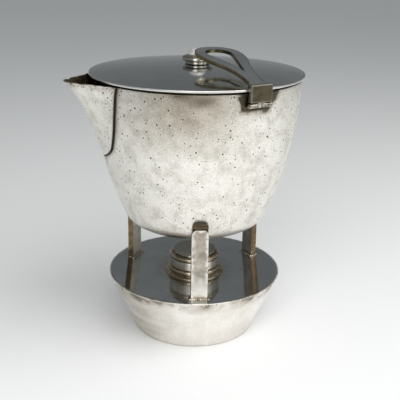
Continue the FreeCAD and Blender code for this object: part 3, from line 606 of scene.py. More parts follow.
corner_radius = bow_centre + math.sqrt((POT_BOW - POT_CORNER)**2 - (POT_RIM - corner_height)**2)
corner_slope = (POT_RIM - corner_height) / (POT_BOW - POT_CORNER)


def wall_radius(height, offset):
    """Radius of the pot's outside, moved out by an offset, at a height."""
    if height > corner_height - corner_slope * (POT_CORNER + offset):
        return bow_centre + math.sqrt((POT_BOW + offset)**2 - (POT_RIM - height)**2)
    return corner_radius + math.sqrt(max((POT_CORNER + offset)**2 - (corner_height - height)**2, 0.0))


def wall_height(radius, offset):
    """Height at which the pot's outside, moved out by an offset, has a radius."""
    drop = math.sqrt((POT_BOW + offset)**2 - (radius - bow_centre)**2)
    if POT_RIM - drop > corner_height - corner_slope * (POT_CORNER + offset):
        return POT_RIM - drop
    return corner_height - math.sqrt(max((POT_CORNER + offset)**2 - (radius - corner_radius)**2, 0.0))


def slab(name, across, along, point, face_metal, edge_metal):
    """A closed plate from a rule that gives a point for shares across and along it and a side, 0 or 1."""
    shape = bmesh.new()
    back, front = [[[shape.verts.new(point(column / across, row / along, side))
                     for column in range(across + 1)] for row in range(along + 1)] for side in (0, 1)]
    for row in range(along):
        for column in range(across):
            corners = ((row, column), (row, column + 1), (row + 1, column + 1), (row + 1, column))
            shape.faces.new([front[r][c] for r, c in corners])
            shape.faces.new([back[r][c] for r, c in reversed(corners)])
    border = [(0, column) for column in range(across)] + [(row, across) for row in range(along)]
    border += [(along, column) for column in range(across, 0, -1)]
    border += [(row, 0) for row in range(along, 0, -1)]
    for (r, c), (s, d) in zip(border, border[1:] + border[:1]):
        shape.faces.new((back[r][c], back[s][d], front[s][d], front[r][c])).material_index = 1
    bmesh.ops.recalc_face_normals(shape, faces=shape.faces)
    mesh = meshed(name, shape)
    mesh.materials.append(face_metal)
    mesh.materials.append(edge_metal)
    return linked(name, mesh)


def settled(piece):
    """Turn a piece with modifiers into a plain mesh."""
    made = bpy.data.meshes.new_from_object(piece.evaluated_get(bpy.context.evaluated_depsgraph_get()))
    piece.modifiers.clear()
    piece.data = made
    return piece


def worn_edges(piece, width, steps=3, sharp=40.0):
    """Round the edges of a piece that turn by more than a sharp angle in degrees, as handling does."""
    bevel = piece.modifiers.new("worn", "BEVEL")
    bevel.width = width
    bevel.segments = steps
    bevel.limit_method = "ANGLE"
    bevel.angle_limit = math.radians(sharp)
    return smooth(settled(piece))


leg_metal = silver_plate("brushed_leg", (0.68, 0.635, 0.57, 1), (0.30, 0.265, 0.21, 1), roughness=0.30,
                         stretch=(1300.0, 1300.0, 60.0), pit_share=0.12, patches=170.0, grain=0.3,
                         lined=0.35)
leg_side_metal = silver_plate("browned_leg_side", (0.36, 0.265, 0.14, 1), (0.10, 0.07, 0.038, 1),
                              roughness=0.26, stretch=(1100.0, 1100.0, 70.0), pit_share=0.10,
                              patches=190.0, lined=0.6)
# A paler, partly non-metallic copy of the leg metal: painted light on the rear leg.
lit_rear_leg_metal = silver_plate("pale_leg", (0.92, 0.89, 0.83, 1), (0.60, 0.56, 0.49, 1), roughness=0.48,
                              stretch=(1100.0, 1100.0, 90.0), pit_share=0.10, patches=150.0, lined=0.3,
                              clean=0.55)
for name, angle in LEG_ANGLES.items():
    turn = leg_turns[name]
    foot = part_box("leg_" + name)[0].z

    def leg_point(across, along, side):
        """A point on the leg's inner or outer face."""
        aside = (across - 0.5) * LEG_WIDTH
        radius = LEG_INNER + LEG_THICK * side
        bend = max(0.0, abs(aside) - (LEG_WIDTH / 2 - LEG_CORNER))
        top = LEG_TOP - LEG_CORNER + math.sqrt(max(LEG_CORNER**2 - bend**2, 0.0))
        top = min(top, wall_height(math.hypot(radius, aside), LEG_SEAT))
        ragged = abs(RAGGED_DEPTH * noise.noise(Vector((along * 9.0, across * 2.0, angle + side))))
        narrowed = aside * (1 - ragged / LEG_WIDTH)
        return turn @ Vector((radius - ragged, narrowed, foot + (top - foot) * along))

    def leg_tarnish(spot):
        """Brown at the leg's foot, more and more towards its top, and in blotches."""
        low = 0.9 * fade(spot.z - foot, FOOT_STAIN_HEIGHT)
        high = 0.8 * max(0.0, (spot.z - foot) / (LEG_TOP - foot) - 0.40)
        return low + high + 1.3 * blotch(spot, size=2.6 * MM, seed=9.0, floor=0.55)

    def leg_rub(spot):
        """White wear, of uneven width, along the edges of the leg's front and near its foot."""
        local = turn.transposed() @ spot
        if local.x < LEG_INNER + LEG_THICK - FACE_DEPTH or abs(local.y) > LEG_WIDTH / 2 - FACE_MARGIN:
            return 0.0
        width = max(0.1, 3.4 * rough_share(spot, size=1.6 * MM, seed=14.0) - 0.5) * MM
        border = min(LEG_WIDTH / 2 - abs(local.y), LEG_TOP - spot.z)
        low = 0.8 * fade(abs(spot.z - foot - FOOT_RUB_HEIGHT), FOOT_RUB_REACH)
        return max(1.3 - border / width, low)

    # The rear leg takes the paler copy: painted light.
    face_metal = lit_rear_leg_metal if name == "rear" else leg_metal
    bar = slab("leg_bar_" + name, LEG_COLUMNS, LEG_ROWS, leg_point, face_metal, leg_side_metal)
    leg = worn_edges(bar, LEG_WEAR)
    paint(leg, "tarnish_and_shade", leg_tarnish)
    paint(leg, "rub", leg_rub)
    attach(leg, "stand")
    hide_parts("leg_" + name)

# Saddles: thin strips bent to the pot's wall and soldered on the legs' tops, where the pot sits loosely.
# Heat has turned them brown, and shallow grooves are filed across them.
SADDLE_NEAR = 0.3 * MM
SADDLE_FAR = 1.1 * MM
SADDLE_HALF = 4.2 * MM
SADDLE_BOTTOM = 65.6 * MM
SADDLE_TOP = 76.4 * MM
SADDLE_CORNER = 3.0 * MM
GROOVE_STEP = 2.0 * MM
GROOVE_DEPTH = 0.3 * MM
STRIP_COLUMNS = 18
STRIP_ROWS = 48
STRIP_WEAR = 0.2 * MM


def wall_strip(name, bottom, top, half, near, far, angle, face_metal, edge_metal, groove=lambda height: 0.0):
    """A strip on the pot's wall, whose half width and outer grooves are rules on the height."""
    turn = Matrix.Rotation(math.radians(angle), 3, "Z")

    def strip_point(across, along, side):
        """A point on the strip's inner or outer face."""
        height = bottom + (top - bottom) * along
        aside = (2 * across - 1) * half(height)
        radius = wall_radius(height, far - groove(height) if side else near)
        return turn @ Vector((math.sqrt(radius**2 - aside**2), aside, height))

    return worn_edges(slab(name, STRIP_COLUMNS, STRIP_ROWS, strip_point, face_metal, edge_metal), STRIP_WEAR)


def saddle_half(height):
    """Half width of a saddle, which has rounded upper corners."""
    bend = max(0.0, height - (SADDLE_TOP - SADDLE_CORNER))
    return SADDLE_HALF - SADDLE_CORNER + math.sqrt(max(SADDLE_CORNER**2 - bend**2, 0.0))


def saddle_groove(height):
    """Depth of the shallow filed grooves that run across a saddle."""
    return GROOVE_DEPTH * (0.5 - 0.5 * math.cos(2 * math.pi * (SADDLE_TOP - height) / GROOVE_STEP))


brown_metal = silver_plate("browned_plate", (0.165, 0.13, 0.085, 1), (0.055, 0.042, 0.026, 1),
                           roughness=0.26, stretch=(60.0, 60.0, 900.0), pit_share=0.25, pit_size=0.4 * MM,
                           patches=170.0, lined=0.5)
for name, angle in LEG_ANGLES.items():
    saddle = wall_strip("saddle_strip_" + name, SADDLE_BOTTOM, SADDLE_TOP, saddle_half, SADDLE_NEAR,
                        SADDLE_FAR, angle, brown_metal, brown_metal, saddle_groove)
    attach(saddle, "stand")
    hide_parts("saddle_" + name)

# Burner socket: a turned brass collar let into the plate, whose sloping flange lies on it.
# The flame's heat has tarnished it olive brown, with bright lines where it is rubbed.
SOCKET_BORE = 9.08 * MM
SOCKET_OUTER = 10.68 * MM
FLANGE_RADIUS = 16.7 * MM
FLANGE_LIP = 14.6 * MM
FLANGE_EDGE = 0.4 * MM
FLANGE_HEIGHT = 1.5 * MM
BURNER_STEPS = 128
socket_low, socket_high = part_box("burner_collar")
flange_foot = socket_high.z - FLANGE_HEIGHT
socket_start = (SOCKET_BORE, socket_high.z - 2 * EDGE)
burner_metal = silver_plate("heat_browned_plate", (0.68, 0.60, 0.46, 1), (0.27, 0.22, 0.145, 1),
                            roughness=0.26, stretch=(40.0, 40.0, 1600.0), pit_share=0.15, patches=130.0,
                            lined=0.2)
socket_outline = rounded([
    socket_start, (SOCKET_BORE, socket_low.z, EDGE), (SOCKET_OUTER, socket_low.z, EDGE),
    (SOCKET_OUTER, flange_foot), (FLANGE_RADIUS, flange_foot),
    (FLANGE_RADIUS, flange_foot + FLANGE_EDGE, EDGE), (FLANGE_LIP, socket_high.z, EDGE),
    (SOCKET_BORE, socket_high.z, EDGE), socket_start])
socket = spun("burner_socket", socket_outline, burner_metal, BURNER_STEPS)
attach(socket, "stand")
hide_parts("burner_collar")

# Burner head: a turned plug that screws into the socket, with a half-round rim and a bore for the wick tube.
# It comes out with the wick when the bowl is filled.
HEAD_BORE = 3.45 * MM
PLUG_RADIUS = 9.0 * MM
HEAD_RIM = 15.1 * MM
HEAD_RIM_HEIGHT = 2.2 * MM
head_low, head_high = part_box("burner_head")


def half_round(radius, low, high, steps=10):
    """Points of a half-round edge, from its lower end to its upper end."""
    swell = (high - low) / 2
    return [(radius - swell + swell * math.sin(math.pi * step / steps),
             low + swell - swell * math.cos(math.pi * step / steps)) for step in range(steps + 1)]


head_foot = head_high.z - HEAD_RIM_HEIGHT
head_outline = rounded([
    (HEAD_BORE, head_high.z), (HEAD_BORE, head_low.z), (PLUG_RADIUS, head_low.z, EDGE),
    (PLUG_RADIUS, head_foot), *half_round(HEAD_RIM, head_foot, head_high.z), (HEAD_BORE, head_high.z)])
head = spun("burner_plug", head_outline, burner_metal, BURNER_STEPS)
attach(head, "burner")
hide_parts("burner_head")

# Wick tube: drawn brass tube soldered through the head.
# Its top edge is rounded so that it doesn't cut the wick.
TUBE_RADIUS = 3.4 * MM
TUBE_WALL = 0.6 * MM
TUBE_EDGE = 0.25 * MM
TUBE_STEPS = 64
BORE_START = 1 * MM
tube_low, tube_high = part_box("wick_tube")
tube_inner = TUBE_RADIUS - TUBE_WALL
tube_start = (tube_inner, tube_high.z - BORE_START)
tube_outline = rounded([
    tube_start, (tube_inner, tube_low.z, TUBE_EDGE), (TUBE_RADIUS, tube_low.z, TUBE_EDGE),
    (TUBE_RADIUS, tube_high.z, TUBE_EDGE), (tube_inner, tube_high.z, TUBE_EDGE), tube_start])
tube = spun("wick_holder", tube_outline, burner_metal, TUBE_STEPS)
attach(tube, "burner")
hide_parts("wick_tube")

# Wick: plaited cotton cord, held in its tube by friction and charred at the top.
# Its strands wind both ways round a core.
WICK_STRANDS = 7
WICK_TURNS = 3.2
STRAND_RADIUS = 0.5 * MM
STRAND_SIDES = 6
WINDING_STEPS = 24
CORE_SIDES = 24
COTTON = (0.80, 0.76, 0.68, 1)
COTTON_SHADE = (0.62, 0.57, 0.48, 1)
CHAR = (0.03, 0.026, 0.022, 1)
CHAR_START = 0.2 * MM
FLUFF_SCALE = 2600.0
FLUFF_RELIEF = 0.1 * MM
wick_low, wick_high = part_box("wick")
wick_radius = wick_high.x
wick_length = wick_high.z - wick_low.z


def plait_tree():
    """Geometry nodes that wind strands of cotton both ways round a core, upwards from the origin."""
    tree, given = new_group("wick_plait", "GeometryNodeTree",
                            {"Core": "Geometry", "Strands": "Int", "Turns": "Float",
                             "Winding radius": "Float", "Strand radius": "Float", "Height": "Float",
                             "Cotton": "Material"}, {"Wick": "Geometry"})
    section = add(tree, "GeometryNodeCurvePrimitiveCircle", {"Resolution": STRAND_SIDES,
                                                             "Radius": given["Strand radius"]})
    strands = []
    for way in (False, True):
        winding = add(tree, "GeometryNodeCurveSpiral", {
            "Resolution": WINDING_STEPS, "Rotations": given["Turns"], "Height": given["Height"],
            "Start Radius": given["Winding radius"], "End Radius": given["Winding radius"],
            "Reverse": way}).outputs[0]
        strand = add(tree, "GeometryNodeCurveToMesh", {"Curve": winding, "Profile Curve": section.outputs[0],
                                                       "Fill Caps": True}).outputs[0]
        points = add(tree, "GeometryNodePoints", {"Count": given["Strands"]}).outputs[0]
        index = add(tree, "GeometryNodeInputIndex").outputs[0]
        angle = reckon(tree, "DIVIDE", reckon(tree, "MULTIPLY", index, 2 * math.pi), given["Strands"])
        turn = add(tree, "ShaderNodeCombineXYZ", {"Z": angle}).outputs[0]
        strands.append(add(tree, "GeometryNodeInstanceOnPoints", {"Points": points, "Instance": strand,
                                                                  "Rotation": turn}).outputs[0])
    whole = add(tree, "GeometryNodeJoinGeometry")
    for part in (given["Core"], *strands):
        tree.links.new(part, whole.inputs[0])
    return closed(tree, whole.outputs[0], given["Cotton"], "Wick")


cotton, tree, shader, place = new_finish("plaited_cotton")
fluff = clouds(tree, place, FLUFF_SCALE, detail=5.0)
colour = blend(tree, span(tree, fluff, 0.3, 0.7), COTTON, COTTON_SHADE)
height = add(tree, "ShaderNodeSeparateXYZ", {0: place}).outputs["Z"]
char = span(tree, height, tube_high.z - CHAR_START, wick_high.z, 0.0, 0.95)
tree.links.new(blend(tree, char, colour, CHAR), shader.inputs["Base Color"])
tree.links.new(span(tree, fluff, 0.3, 0.7, 0.8, 0.95), shader.inputs["Roughness"])
emboss(tree, shader, fluff, 0.5, FLUFF_RELIEF)
core_radius = wick_radius - 2 * STRAND_RADIUS
shape = bmesh.new()
bmesh.ops.create_cone(shape, cap_ends=True, segments=CORE_SIDES, radius1=core_radius, radius2=core_radius,
                      depth=wick_length - STRAND_RADIUS, matrix=Matrix.Translation((0, 0, wick_length / 2)))
wick = smooth(grown("wick_plaited", meshed("wick_core", shape), plait_tree(), Strands=WICK_STRANDS,
                    Turns=WICK_TURNS, Winding_radius=wick_radius - STRAND_RADIUS,
                    Strand_radius=STRAND_RADIUS, Height=wick_length - 2 * STRAND_RADIUS, Cotton=cotton))
wick.data.transform(Matrix.Translation((0, 0, wick_low.z + STRAND_RADIUS)))
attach(wick, "burner")
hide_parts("wick")

# Snuffer: a short brass tube, a round bead and a flat disc, soldered to one another.
# It drops over the wick to put the flame out, and is lifted off to light it.
SNUFFER_WALL = 1.2 * MM
TOP_ROUND = 0.5 * MM
BEAD_STEPS = 24
neck_low, neck_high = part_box("snuffer_neck")
neck_inner = neck_high.x - SNUFFER_WALL
neck_start = (neck_inner, neck_high.z - BORE_START)
neck_outline = rounded([
    neck_start, (neck_inner, neck_low.z, EDGE), (neck_high.x, neck_low.z, EDGE), (neck_high.x, neck_high.z),
    (neck_inner, neck_high.z), neck_start])
neck_metal = silver_plate("rubbed_tube", (0.86, 0.83, 0.765, 1), (0.44, 0.395, 0.315, 1), roughness=0.34,
                          stretch=(500.0, 500.0, 120.0), pit_share=0.15, patches=150.0, lined=0.3)
neck = spun("snuffer_tube", neck_outline, neck_metal, BURNER_STEPS)
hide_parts("snuffer_neck")
bead_low, bead_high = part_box("snuffer_bead")
bead_swell = (bead_high.z - bead_low.z) / 2
bead_angles = [2 * math.pi * step / BEAD_STEPS for step in range(BEAD_STEPS + 1)]
bead_outline = [(bead_high.x - bead_swell + bead_swell * math.cos(angle),
                 bead_low.z + bead_swell + bead_swell * math.sin(angle)) for angle in bead_angles]
bead = spun("snuffer_roll", bead_outline, burner_metal, BURNER_STEPS)
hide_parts("snuffer_bead")
disc_low, disc_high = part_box("snuffer_top")
disc_outline = rounded([
    (0.0, disc_low.z), (disc_high.x, disc_low.z, EDGE), (disc_high.x, disc_high.z, TOP_ROUND),
    *between((disc_high.x, disc_high.z), (0.0, disc_high.z), 6), (0.0, disc_high.z)])
disc_metal = mirror_plate("browned_disc", (0.42, 0.40, 0.36, 1), (0.24, 0.22, 0.18, 1), roughness=0.10,
                          pit_share=0.3)
disc = spun("snuffer_disc", disc_outline, disc_metal, BURNER_STEPS)
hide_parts("snuffer_top")
for piece in (neck, bead, disc):
    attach(piece, "snuffer")

# Spout: a beak of sheet brass folded to a rounded nose and soldered over an opening in the wall.
# Its lip is eaten into by corrosion, the seams carry painted shade, and the inside is dark brown with
# painted golden glints.
SPOUT_ANGLE = 169.0
SPOUT_SHEET = 1.0 * MM
SPOUT_ROOT = 12.0 * MM
SPOUT_DROPS = (0.0, 11.3 * MM, 26.0 * MM, 40.8 * MM)
SPOUT_REACHES = (15.5 * MM, 7.5 * MM, 2.7 * MM, 0.75 * MM)
SPOUT_HALVES = (24.6 * MM, 22.6 * MM, 18.6 * MM, 8.5 * MM)
SPOUT_NOSES = (8.0 * MM, 12.0 * MM, 18.0 * MM, 8.0 * MM)
SPOUT_END = 39.4 * MM
SPOUT_TONGUE = 7.0 * MM
TONGUE_SHARE = 0.96
NOSE_LIMIT = 0.45
SPOUT_COLUMNS = 72
SPOUT_ROWS = 56
ROW_CROWDING = 1.3
SEAM_GAP = 0.05 * MM
LIP_LOSS = 0.6 * MM
LIP_SHARE = 0.04
LIP_STAIN_DEPTH = 4.0 * MM
LIP_EATEN_DEPTH = 4.5 * MM
SEAM_SHADE_REACH = 1.6 * MM
INSIDE_BROWN = (0.085, 0.062, 0.038, 1)
PAINTED_GLINT_GOLD = (0.34, 0.24, 0.11, 1)
GLINT_SCALE = 260.0


def through(places, sizes, at):
    """The smooth curve through sizes at given places."""
    total = 0.0
    for here, size in zip(places, sizes):
        for other in places:
            if other != here:
                size *= (at - other) / (here - other)
        total += size
    return total


def spout_half(drop):
    """Half width of the spout along the wall, which ends below in a round tongue."""
    bend = TONGUE_SHARE * max(0.0, min(drop, SPOUT_END) - (SPOUT_END - SPOUT_TONGUE)) / SPOUT_TONGUE
    return through(SPOUT_DROPS, SPOUT_HALVES, drop) * math.sqrt(1 - bend**2)


def beak_section(drop, inset):
    """The wall's seam, half width, nose centre, nose radius and nose half angle at a drop below the rim."""
    wall = wall_radius(POT_RIM - drop, SEAM_GAP)
    whole = spout_half(drop)
    seam = math.sqrt(wall**2 - whole**2)
    reach = wall - seam + through(SPOUT_DROPS, SPOUT_REACHES, drop)
    nose = min(through(SPOUT_DROPS, SPOUT_NOSES, drop), NOSE_LIMIT * (reach + whole**2 / reach))
    centre = seam + reach - nose
    half = whole - math.sqrt(2) * inset
    curve = nose - inset
    lean = math.atan2(half, seam - centre) - math.acos(curve / math.hypot(seam - centre, half))
    return seam, half, centre, curve, lean


def beak_point(across, drop, inset):
    """A point on the beak: straight from the seam to the nose, round it, and straight to the other seam."""
    seam, half, centre, curve, lean = beak_section(drop, inset)
    side = -1.0 if across < 0.5 else 1.0
    share = abs(2 * across - 1)
    if share < 0.5:
        angle = side * lean * share / 0.5
        return Vector((centre + curve * math.cos(angle), curve * math.sin(angle)))
    tangent = Vector((centre + curve * math.cos(lean), curve * math.sin(lean)))
    spot = tangent.lerp(Vector((seam, half)), (share - 0.5) / 0.5)
    return Vector((spot.x, side * spot.y))


spout_turn = Matrix.Rotation(math.radians(SPOUT_ANGLE), 3, "Z")
spout_back = spout_turn.transposed()


def spout_point(across, along, side):
    """A point on the spout's inner or outer skin, with the lip eaten away a little."""
    ragged = max(0.0, noise.noise(Vector((across * 23.0, 4.0, 0.0))) + 0.15)
    eaten = LIP_LOSS * ragged * max(0.0, along - (1 - LIP_SHARE)) / LIP_SHARE
    drop = SPOUT_END * (1 - along**ROW_CROWDING) + eaten
    spot = beak_point(across, drop, 0.0 if side else SPOUT_SHEET)
    return spout_turn @ Vector((spot.x, spot.y, POT_RIM - drop))


def add_inside(metal):
    """Dark brown, with a few painted golden glints, where a mesh is painted as its inside."""
    tree = metal.node_tree
    shader = tree.nodes["Principled BSDF"]
    glint = clouds(tree, add(tree, "ShaderNodeTexCoord").outputs["Object"], GLINT_SCALE, detail=4.0)
    # Painted glints: golden highlights scattered in the dark brown.
    stain = blend(tree, span(tree, glint, 0.55, 0.72), INSIDE_BROWN, PAINTED_GLINT_GOLD)
    outer = shader.inputs["Base Color"].links[0].from_socket
    tree.links.new(blend(tree, painted(tree, "inside"), outer, stain), shader.inputs["Base Color"])


def seam_distance(spot):
    """Distance along the wall from the nearer seam of the spout, and below its lower end."""
    local = spout_back @ spot
    drop = POT_RIM - spot.z
    half = max(0.0, spout_half(min(drop, SPOUT_END)))
    return math.hypot(abs(local.y) - half, max(0.0, drop - SPOUT_END)), local


def spout_inside(spot):
    """1 on the spout's inner skin and 0 on its outside."""
    local = spout_back @ spot
    drop = min(max(POT_RIM - spot.z, 0.0), SPOUT_DROPS[-1])
    centre, curve, lean = beak_section(drop, SPOUT_SHEET / 2)[2:]
    side = Vector((math.sin(math.pi / 2 - lean), math.cos(math.pi / 2 - lean)))
    from_nose = Vector((local.x - centre, abs(local.y)))
    if from_nose.angle(Vector((1.0, 0.0)), 0.0) < lean:
        return 1.0 if from_nose.length < curve else 0.0
    return 1.0 if from_nose.dot(side) < curve else 0.0


def spout_tarnish_and_shade(spot):
    """Painted shade along the seams, specks along the lip and a thin film."""
    # Painted shade in the crease along the seams.
    seam = 1.0 - seam_distance(spot)[0] / SEAM_SHADE_REACH
    lip = 2.4 * fade(POT_RIM - spot.z, LIP_STAIN_DEPTH) * blotch(spot, size=2.0 * MM, seed=5.0, floor=0.25)
    return max(seam, lip, 0.3 * blotch(spot, size=9 * MM, seed=8.0, floor=0.6))


pot_metal = silver_plate("pitted_plate", (0.97, 0.945, 0.885, 1), (0.67, 0.64, 0.575, 1), roughness=0.34,
                         stretch=(50.0, 50.0, 1500.0), pit_share=0.95, pit_size=0.56 * MM,
                         pit_spacing=2.3 * MM, patches=150.0, grain=0.42, bare=0.35, clean=0.82)
add_inside(pot_metal)
spout = slab("spout_beak", SPOUT_COLUMNS, SPOUT_ROWS, spout_point, pot_metal, pot_metal)
paint(spout, "inside", spout_inside)
paint(spout, "tarnish_and_shade", spout_tarnish_and_shade)
paint(spout, "eaten", lambda spot: 1.1 - (POT_RIM - spot.z) / LIP_EATEN_DEPTH)
smooth(spout)
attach(spout, "pot")
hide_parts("spout")

# Spout seam: a line of hard solder in the corner between the spout and the wall, black: the dark joint with
# painted shade of the groove.
# It runs down both sides of the spout and round the tongue at its lower end.
SEAM_RADIUS = 0.6 * MM
SEAM_START = 0.8 * MM
SEAM_STEPS = 40
SEAM_SIDES = 8
SEAM_CROWDING = 1.5


def solder_line_tree():
    """Geometry nodes that lay a round line of solder along a path."""
    tree, given = new_group("solder_line", "GeometryNodeTree",
                            {"Path": "Geometry", "Radius": "Float", "Solder": "Material"},
                            {"Line": "Geometry"})
    run = add(tree, "GeometryNodeMeshToCurve", {0: given["Path"]}).outputs[0]
    section = add(tree, "GeometryNodeCurvePrimitiveCircle", {"Resolution": SEAM_SIDES,
                                                             "Radius": given["Radius"]})
    mesh = add(tree, "GeometryNodeCurveToMesh", {"Curve": run, "Profile Curve": section.outputs[0],
                                                 "Fill Caps": True}).outputs[0]
    return closed(tree, mesh, given["Solder"], "Line")


def seam_spot(aside, drop):
    """A point on the wall under the spout's edge."""
    radius = wall_radius(POT_RIM - drop, SEAM_GAP)
    return spout_turn @ Vector((math.sqrt(radius**2 - aside**2), aside, POT_RIM - drop))


seam_length = SPOUT_END - SEAM_START
seam_shares = [(1 - step / SEAM_STEPS)**SEAM_CROWDING for step in range(SEAM_STEPS + 1)]
seam_drops = [SPOUT_END - seam_length * share for share in seam_shares]
seam_sides = [(spout_half(drop), drop) for drop in seam_drops]
seam_points = seam_sides + [(-half, drop) for half, drop in reversed(seam_sides)]
seam_path = bpy.data.meshes.new("seam_path")
seam_path.from_pydata([seam_spot(aside, drop) for aside, drop in seam_points],
                      [(index, index + 1) for index in range(len(seam_points) - 1)], [])
# Black metal for the spout's solder, and painted shade in the lid's gap and on the opening's cut edge.
black_solder_and_shade_metal = silver_plate("blackened_solder", (0.045, 0.038, 0.028, 1), (0.022, 0.018, 0.013, 1),
                          roughness=0.35, stretch=(300.0, 300.0, 300.0), patches=300.0)
seam = smooth(grown("spout_seam", seam_path, solder_line_tree(), Radius=SEAM_RADIUS, Solder=black_solder_and_shade_metal))
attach(seam, "pot")

# Pot: a bowl raised from sheet brass, silver plated, with a flat bottom and an opening into the spout.
# The plate is worn satin and pitted, with a painted brown shadow and dark reflection under the rim, painted
# shade beside the spout's seams, and darker round the bottom edge.
POT_SHEET = 1.1 * MM
POT_EDGE = 0.35 * MM
WALL_ROWS = 64
CORNER_ROWS = 12
OPENING_ROWS = 14
OPENING_COLUMNS = 16
OPENING_TOP = 2 * MM
OPENING_MARGIN = 1 * MM
# Where the painted shadow and dark reflection lie under the rim, on the side that faces the camera.
SHADOW_ANGLE = math.radians(235)
SHADOW_SPREAD = math.radians(36)
SHADOW_DEPTH = 34 * MM
LOW_DARKENING_ANGLE = math.radians(217)
LOW_DARKENING_SPREAD = math.radians(26)
SEAM_SHADOW = 2.8 * MM
UNDER_RIM_DEPTH = 16 * MM
BOTTOM_STAIN_HEIGHT = 8 * MM
POT_EATEN_DEPTH = 4 * MM
HINGE_DARK_FOOT = 134.0 * MM
HINGE_DARK_HALF = 8.0 * MM
HINGE_DARK_FLARES = (2.0 * MM, 8.0 * MM)
HINGE_DARK_EDGE = 2.5 * MM
HINGE_EATEN_HALF = 15 * MM


def pot_side(offset):
    """Points up the pot's side, moved out by an offset, from its flat bottom to the rim."""
    swing = math.asin(corner_slope)
    reach = POT_CORNER + offset
    points = []
    for step in range(CORNER_ROWS):
        angle = -math.pi / 2 + (math.pi / 2 - swing) * step / CORNER_ROWS
        points.append((corner_radius + reach * math.cos(angle), corner_height + reach * math.sin(angle)))
    start = corner_height - corner_slope * reach
    for step in range(WALL_ROWS + 1):
        height = start + (POT_RIM - start) * step / WALL_ROWS
        points.append((wall_radius(height, offset), height))
    return points


inner_side = list(reversed(pot_side(-POT_SHEET)))
outer_side = pot_side(0.0)
outer_side[-1] = (*outer_side[-1], POT_EDGE)
inner_side[0] = (*inner_side[0], POT_EDGE)
under_centre = (0.0, POT_FLOOR)
floor_centre = (0.0, POT_FLOOR + POT_SHEET)
pot_outline = rounded([under_centre, *between(under_centre, outer_side[0], 8), *outer_side, *inner_side,
                       *between(inner_side[-1], floor_centre, 4), floor_centre])
pot = spun("pot_raised", pot_outline, pot_metal, LARGE_STEPS)
opening_drop = SPOUT_DROPS[2]
shape = bmesh.new()
rings = []
for row in range(OPENING_ROWS + 1):
    drop = opening_drop * (1 - row / OPENING_ROWS)
    height = POT_RIM - drop + (OPENING_TOP if row == OPENING_ROWS else 0.0)
    root = wall_radius(POT_RIM - drop, 0.0) - SPOUT_ROOT
    ends = [Vector((root, side * beak_section(drop, SPOUT_SHEET)[1])) for side in (-1, 1)]
    beak = [beak_point(step / OPENING_COLUMNS, drop, SPOUT_SHEET) for step in range(OPENING_COLUMNS + 1)]
    rings.append([shape.verts.new(spout_turn @ Vector((spot.x, spot.y, height)))
                  for spot in (ends[0], *beak, ends[1])])
for lower, upper in zip(rings, rings[1:]):
    for index in range(len(lower)):
        after = (index + 1) % len(lower)
        shape.faces.new((lower[index], lower[after], upper[after], upper[index]))
shape.faces.new(list(reversed(rings[0])))
shape.faces.new(rings[-1])
bmesh.ops.recalc_face_normals(shape, faces=shape.faces)
opening = linked("opening", meshed("opening", shape))
cut = pot.modifiers.new("opening", "BOOLEAN")
cut.operation = "DIFFERENCE"
cut.solver = "EXACT"
cut.object = opening
settled(pot)
bpy.data.objects.remove(opening)
hand_worked(pot, depth=0.10 * MM, size=26 * MM)


def second_metal(piece, metal, rule):
    """Give a second metal to the faces of a piece whose centres keep to a rule."""
    piece.data.materials.append(metal)
    for face in piece.data.polygons:
        if rule(face.center):
            face.material_index = 1


def opening_edge(spot):
    """Whether a place lies on the cut edge of the opening into the spout."""
    local = spout_back @ spot
    drop = POT_RIM - spot.z
    if local.x <= 0 or not POT_EDGE < drop < opening_drop + POT_EDGE:
        return False
    return abs(local.y) < beak_section(drop, SPOUT_SHEET)[1] + POT_EDGE


def pot_inside(spot):
    """1 on the pot's inner wall and floor, and on the wall behind the spout."""
    if spot.z < POT_FLOOR + 0.5 * POT_SHEET:
        return 0.0
    local = spout_back @ spot
    drop = POT_RIM - spot.z
    half = through(SPOUT_DROPS, SPOUT_HALVES, drop)
    if local.x > 0 and drop < opening_drop + OPENING_MARGIN and abs(local.y) < half:
        return 1.0
    return 1.0 if math.hypot(spot.x, spot.y) < wall_radius(spot.z, -0.55 * POT_SHEET) else 0.0


def hinge_darkening(spot):
    """Darker on the wall round the hinge plate, with a ragged edge."""
    if spot.y > 0:
        return 0.0
    rise = (spot.z - HINGE_DARK_FOOT) / (POT_RIM - HINGE_DARK_FOOT)
    half = HINGE_DARK_HALF + HINGE_DARK_FLARES[spot.x > 0] * max(0.0, rise)
    ragged = 3 * MM * (rough_share(spot, size=3 * MM, seed=7.0) - 0.5)
    return 0.5 + (min(half - abs(spot.x), spot.z - HINGE_DARK_FOOT) + ragged) / HINGE_DARK_EDGE


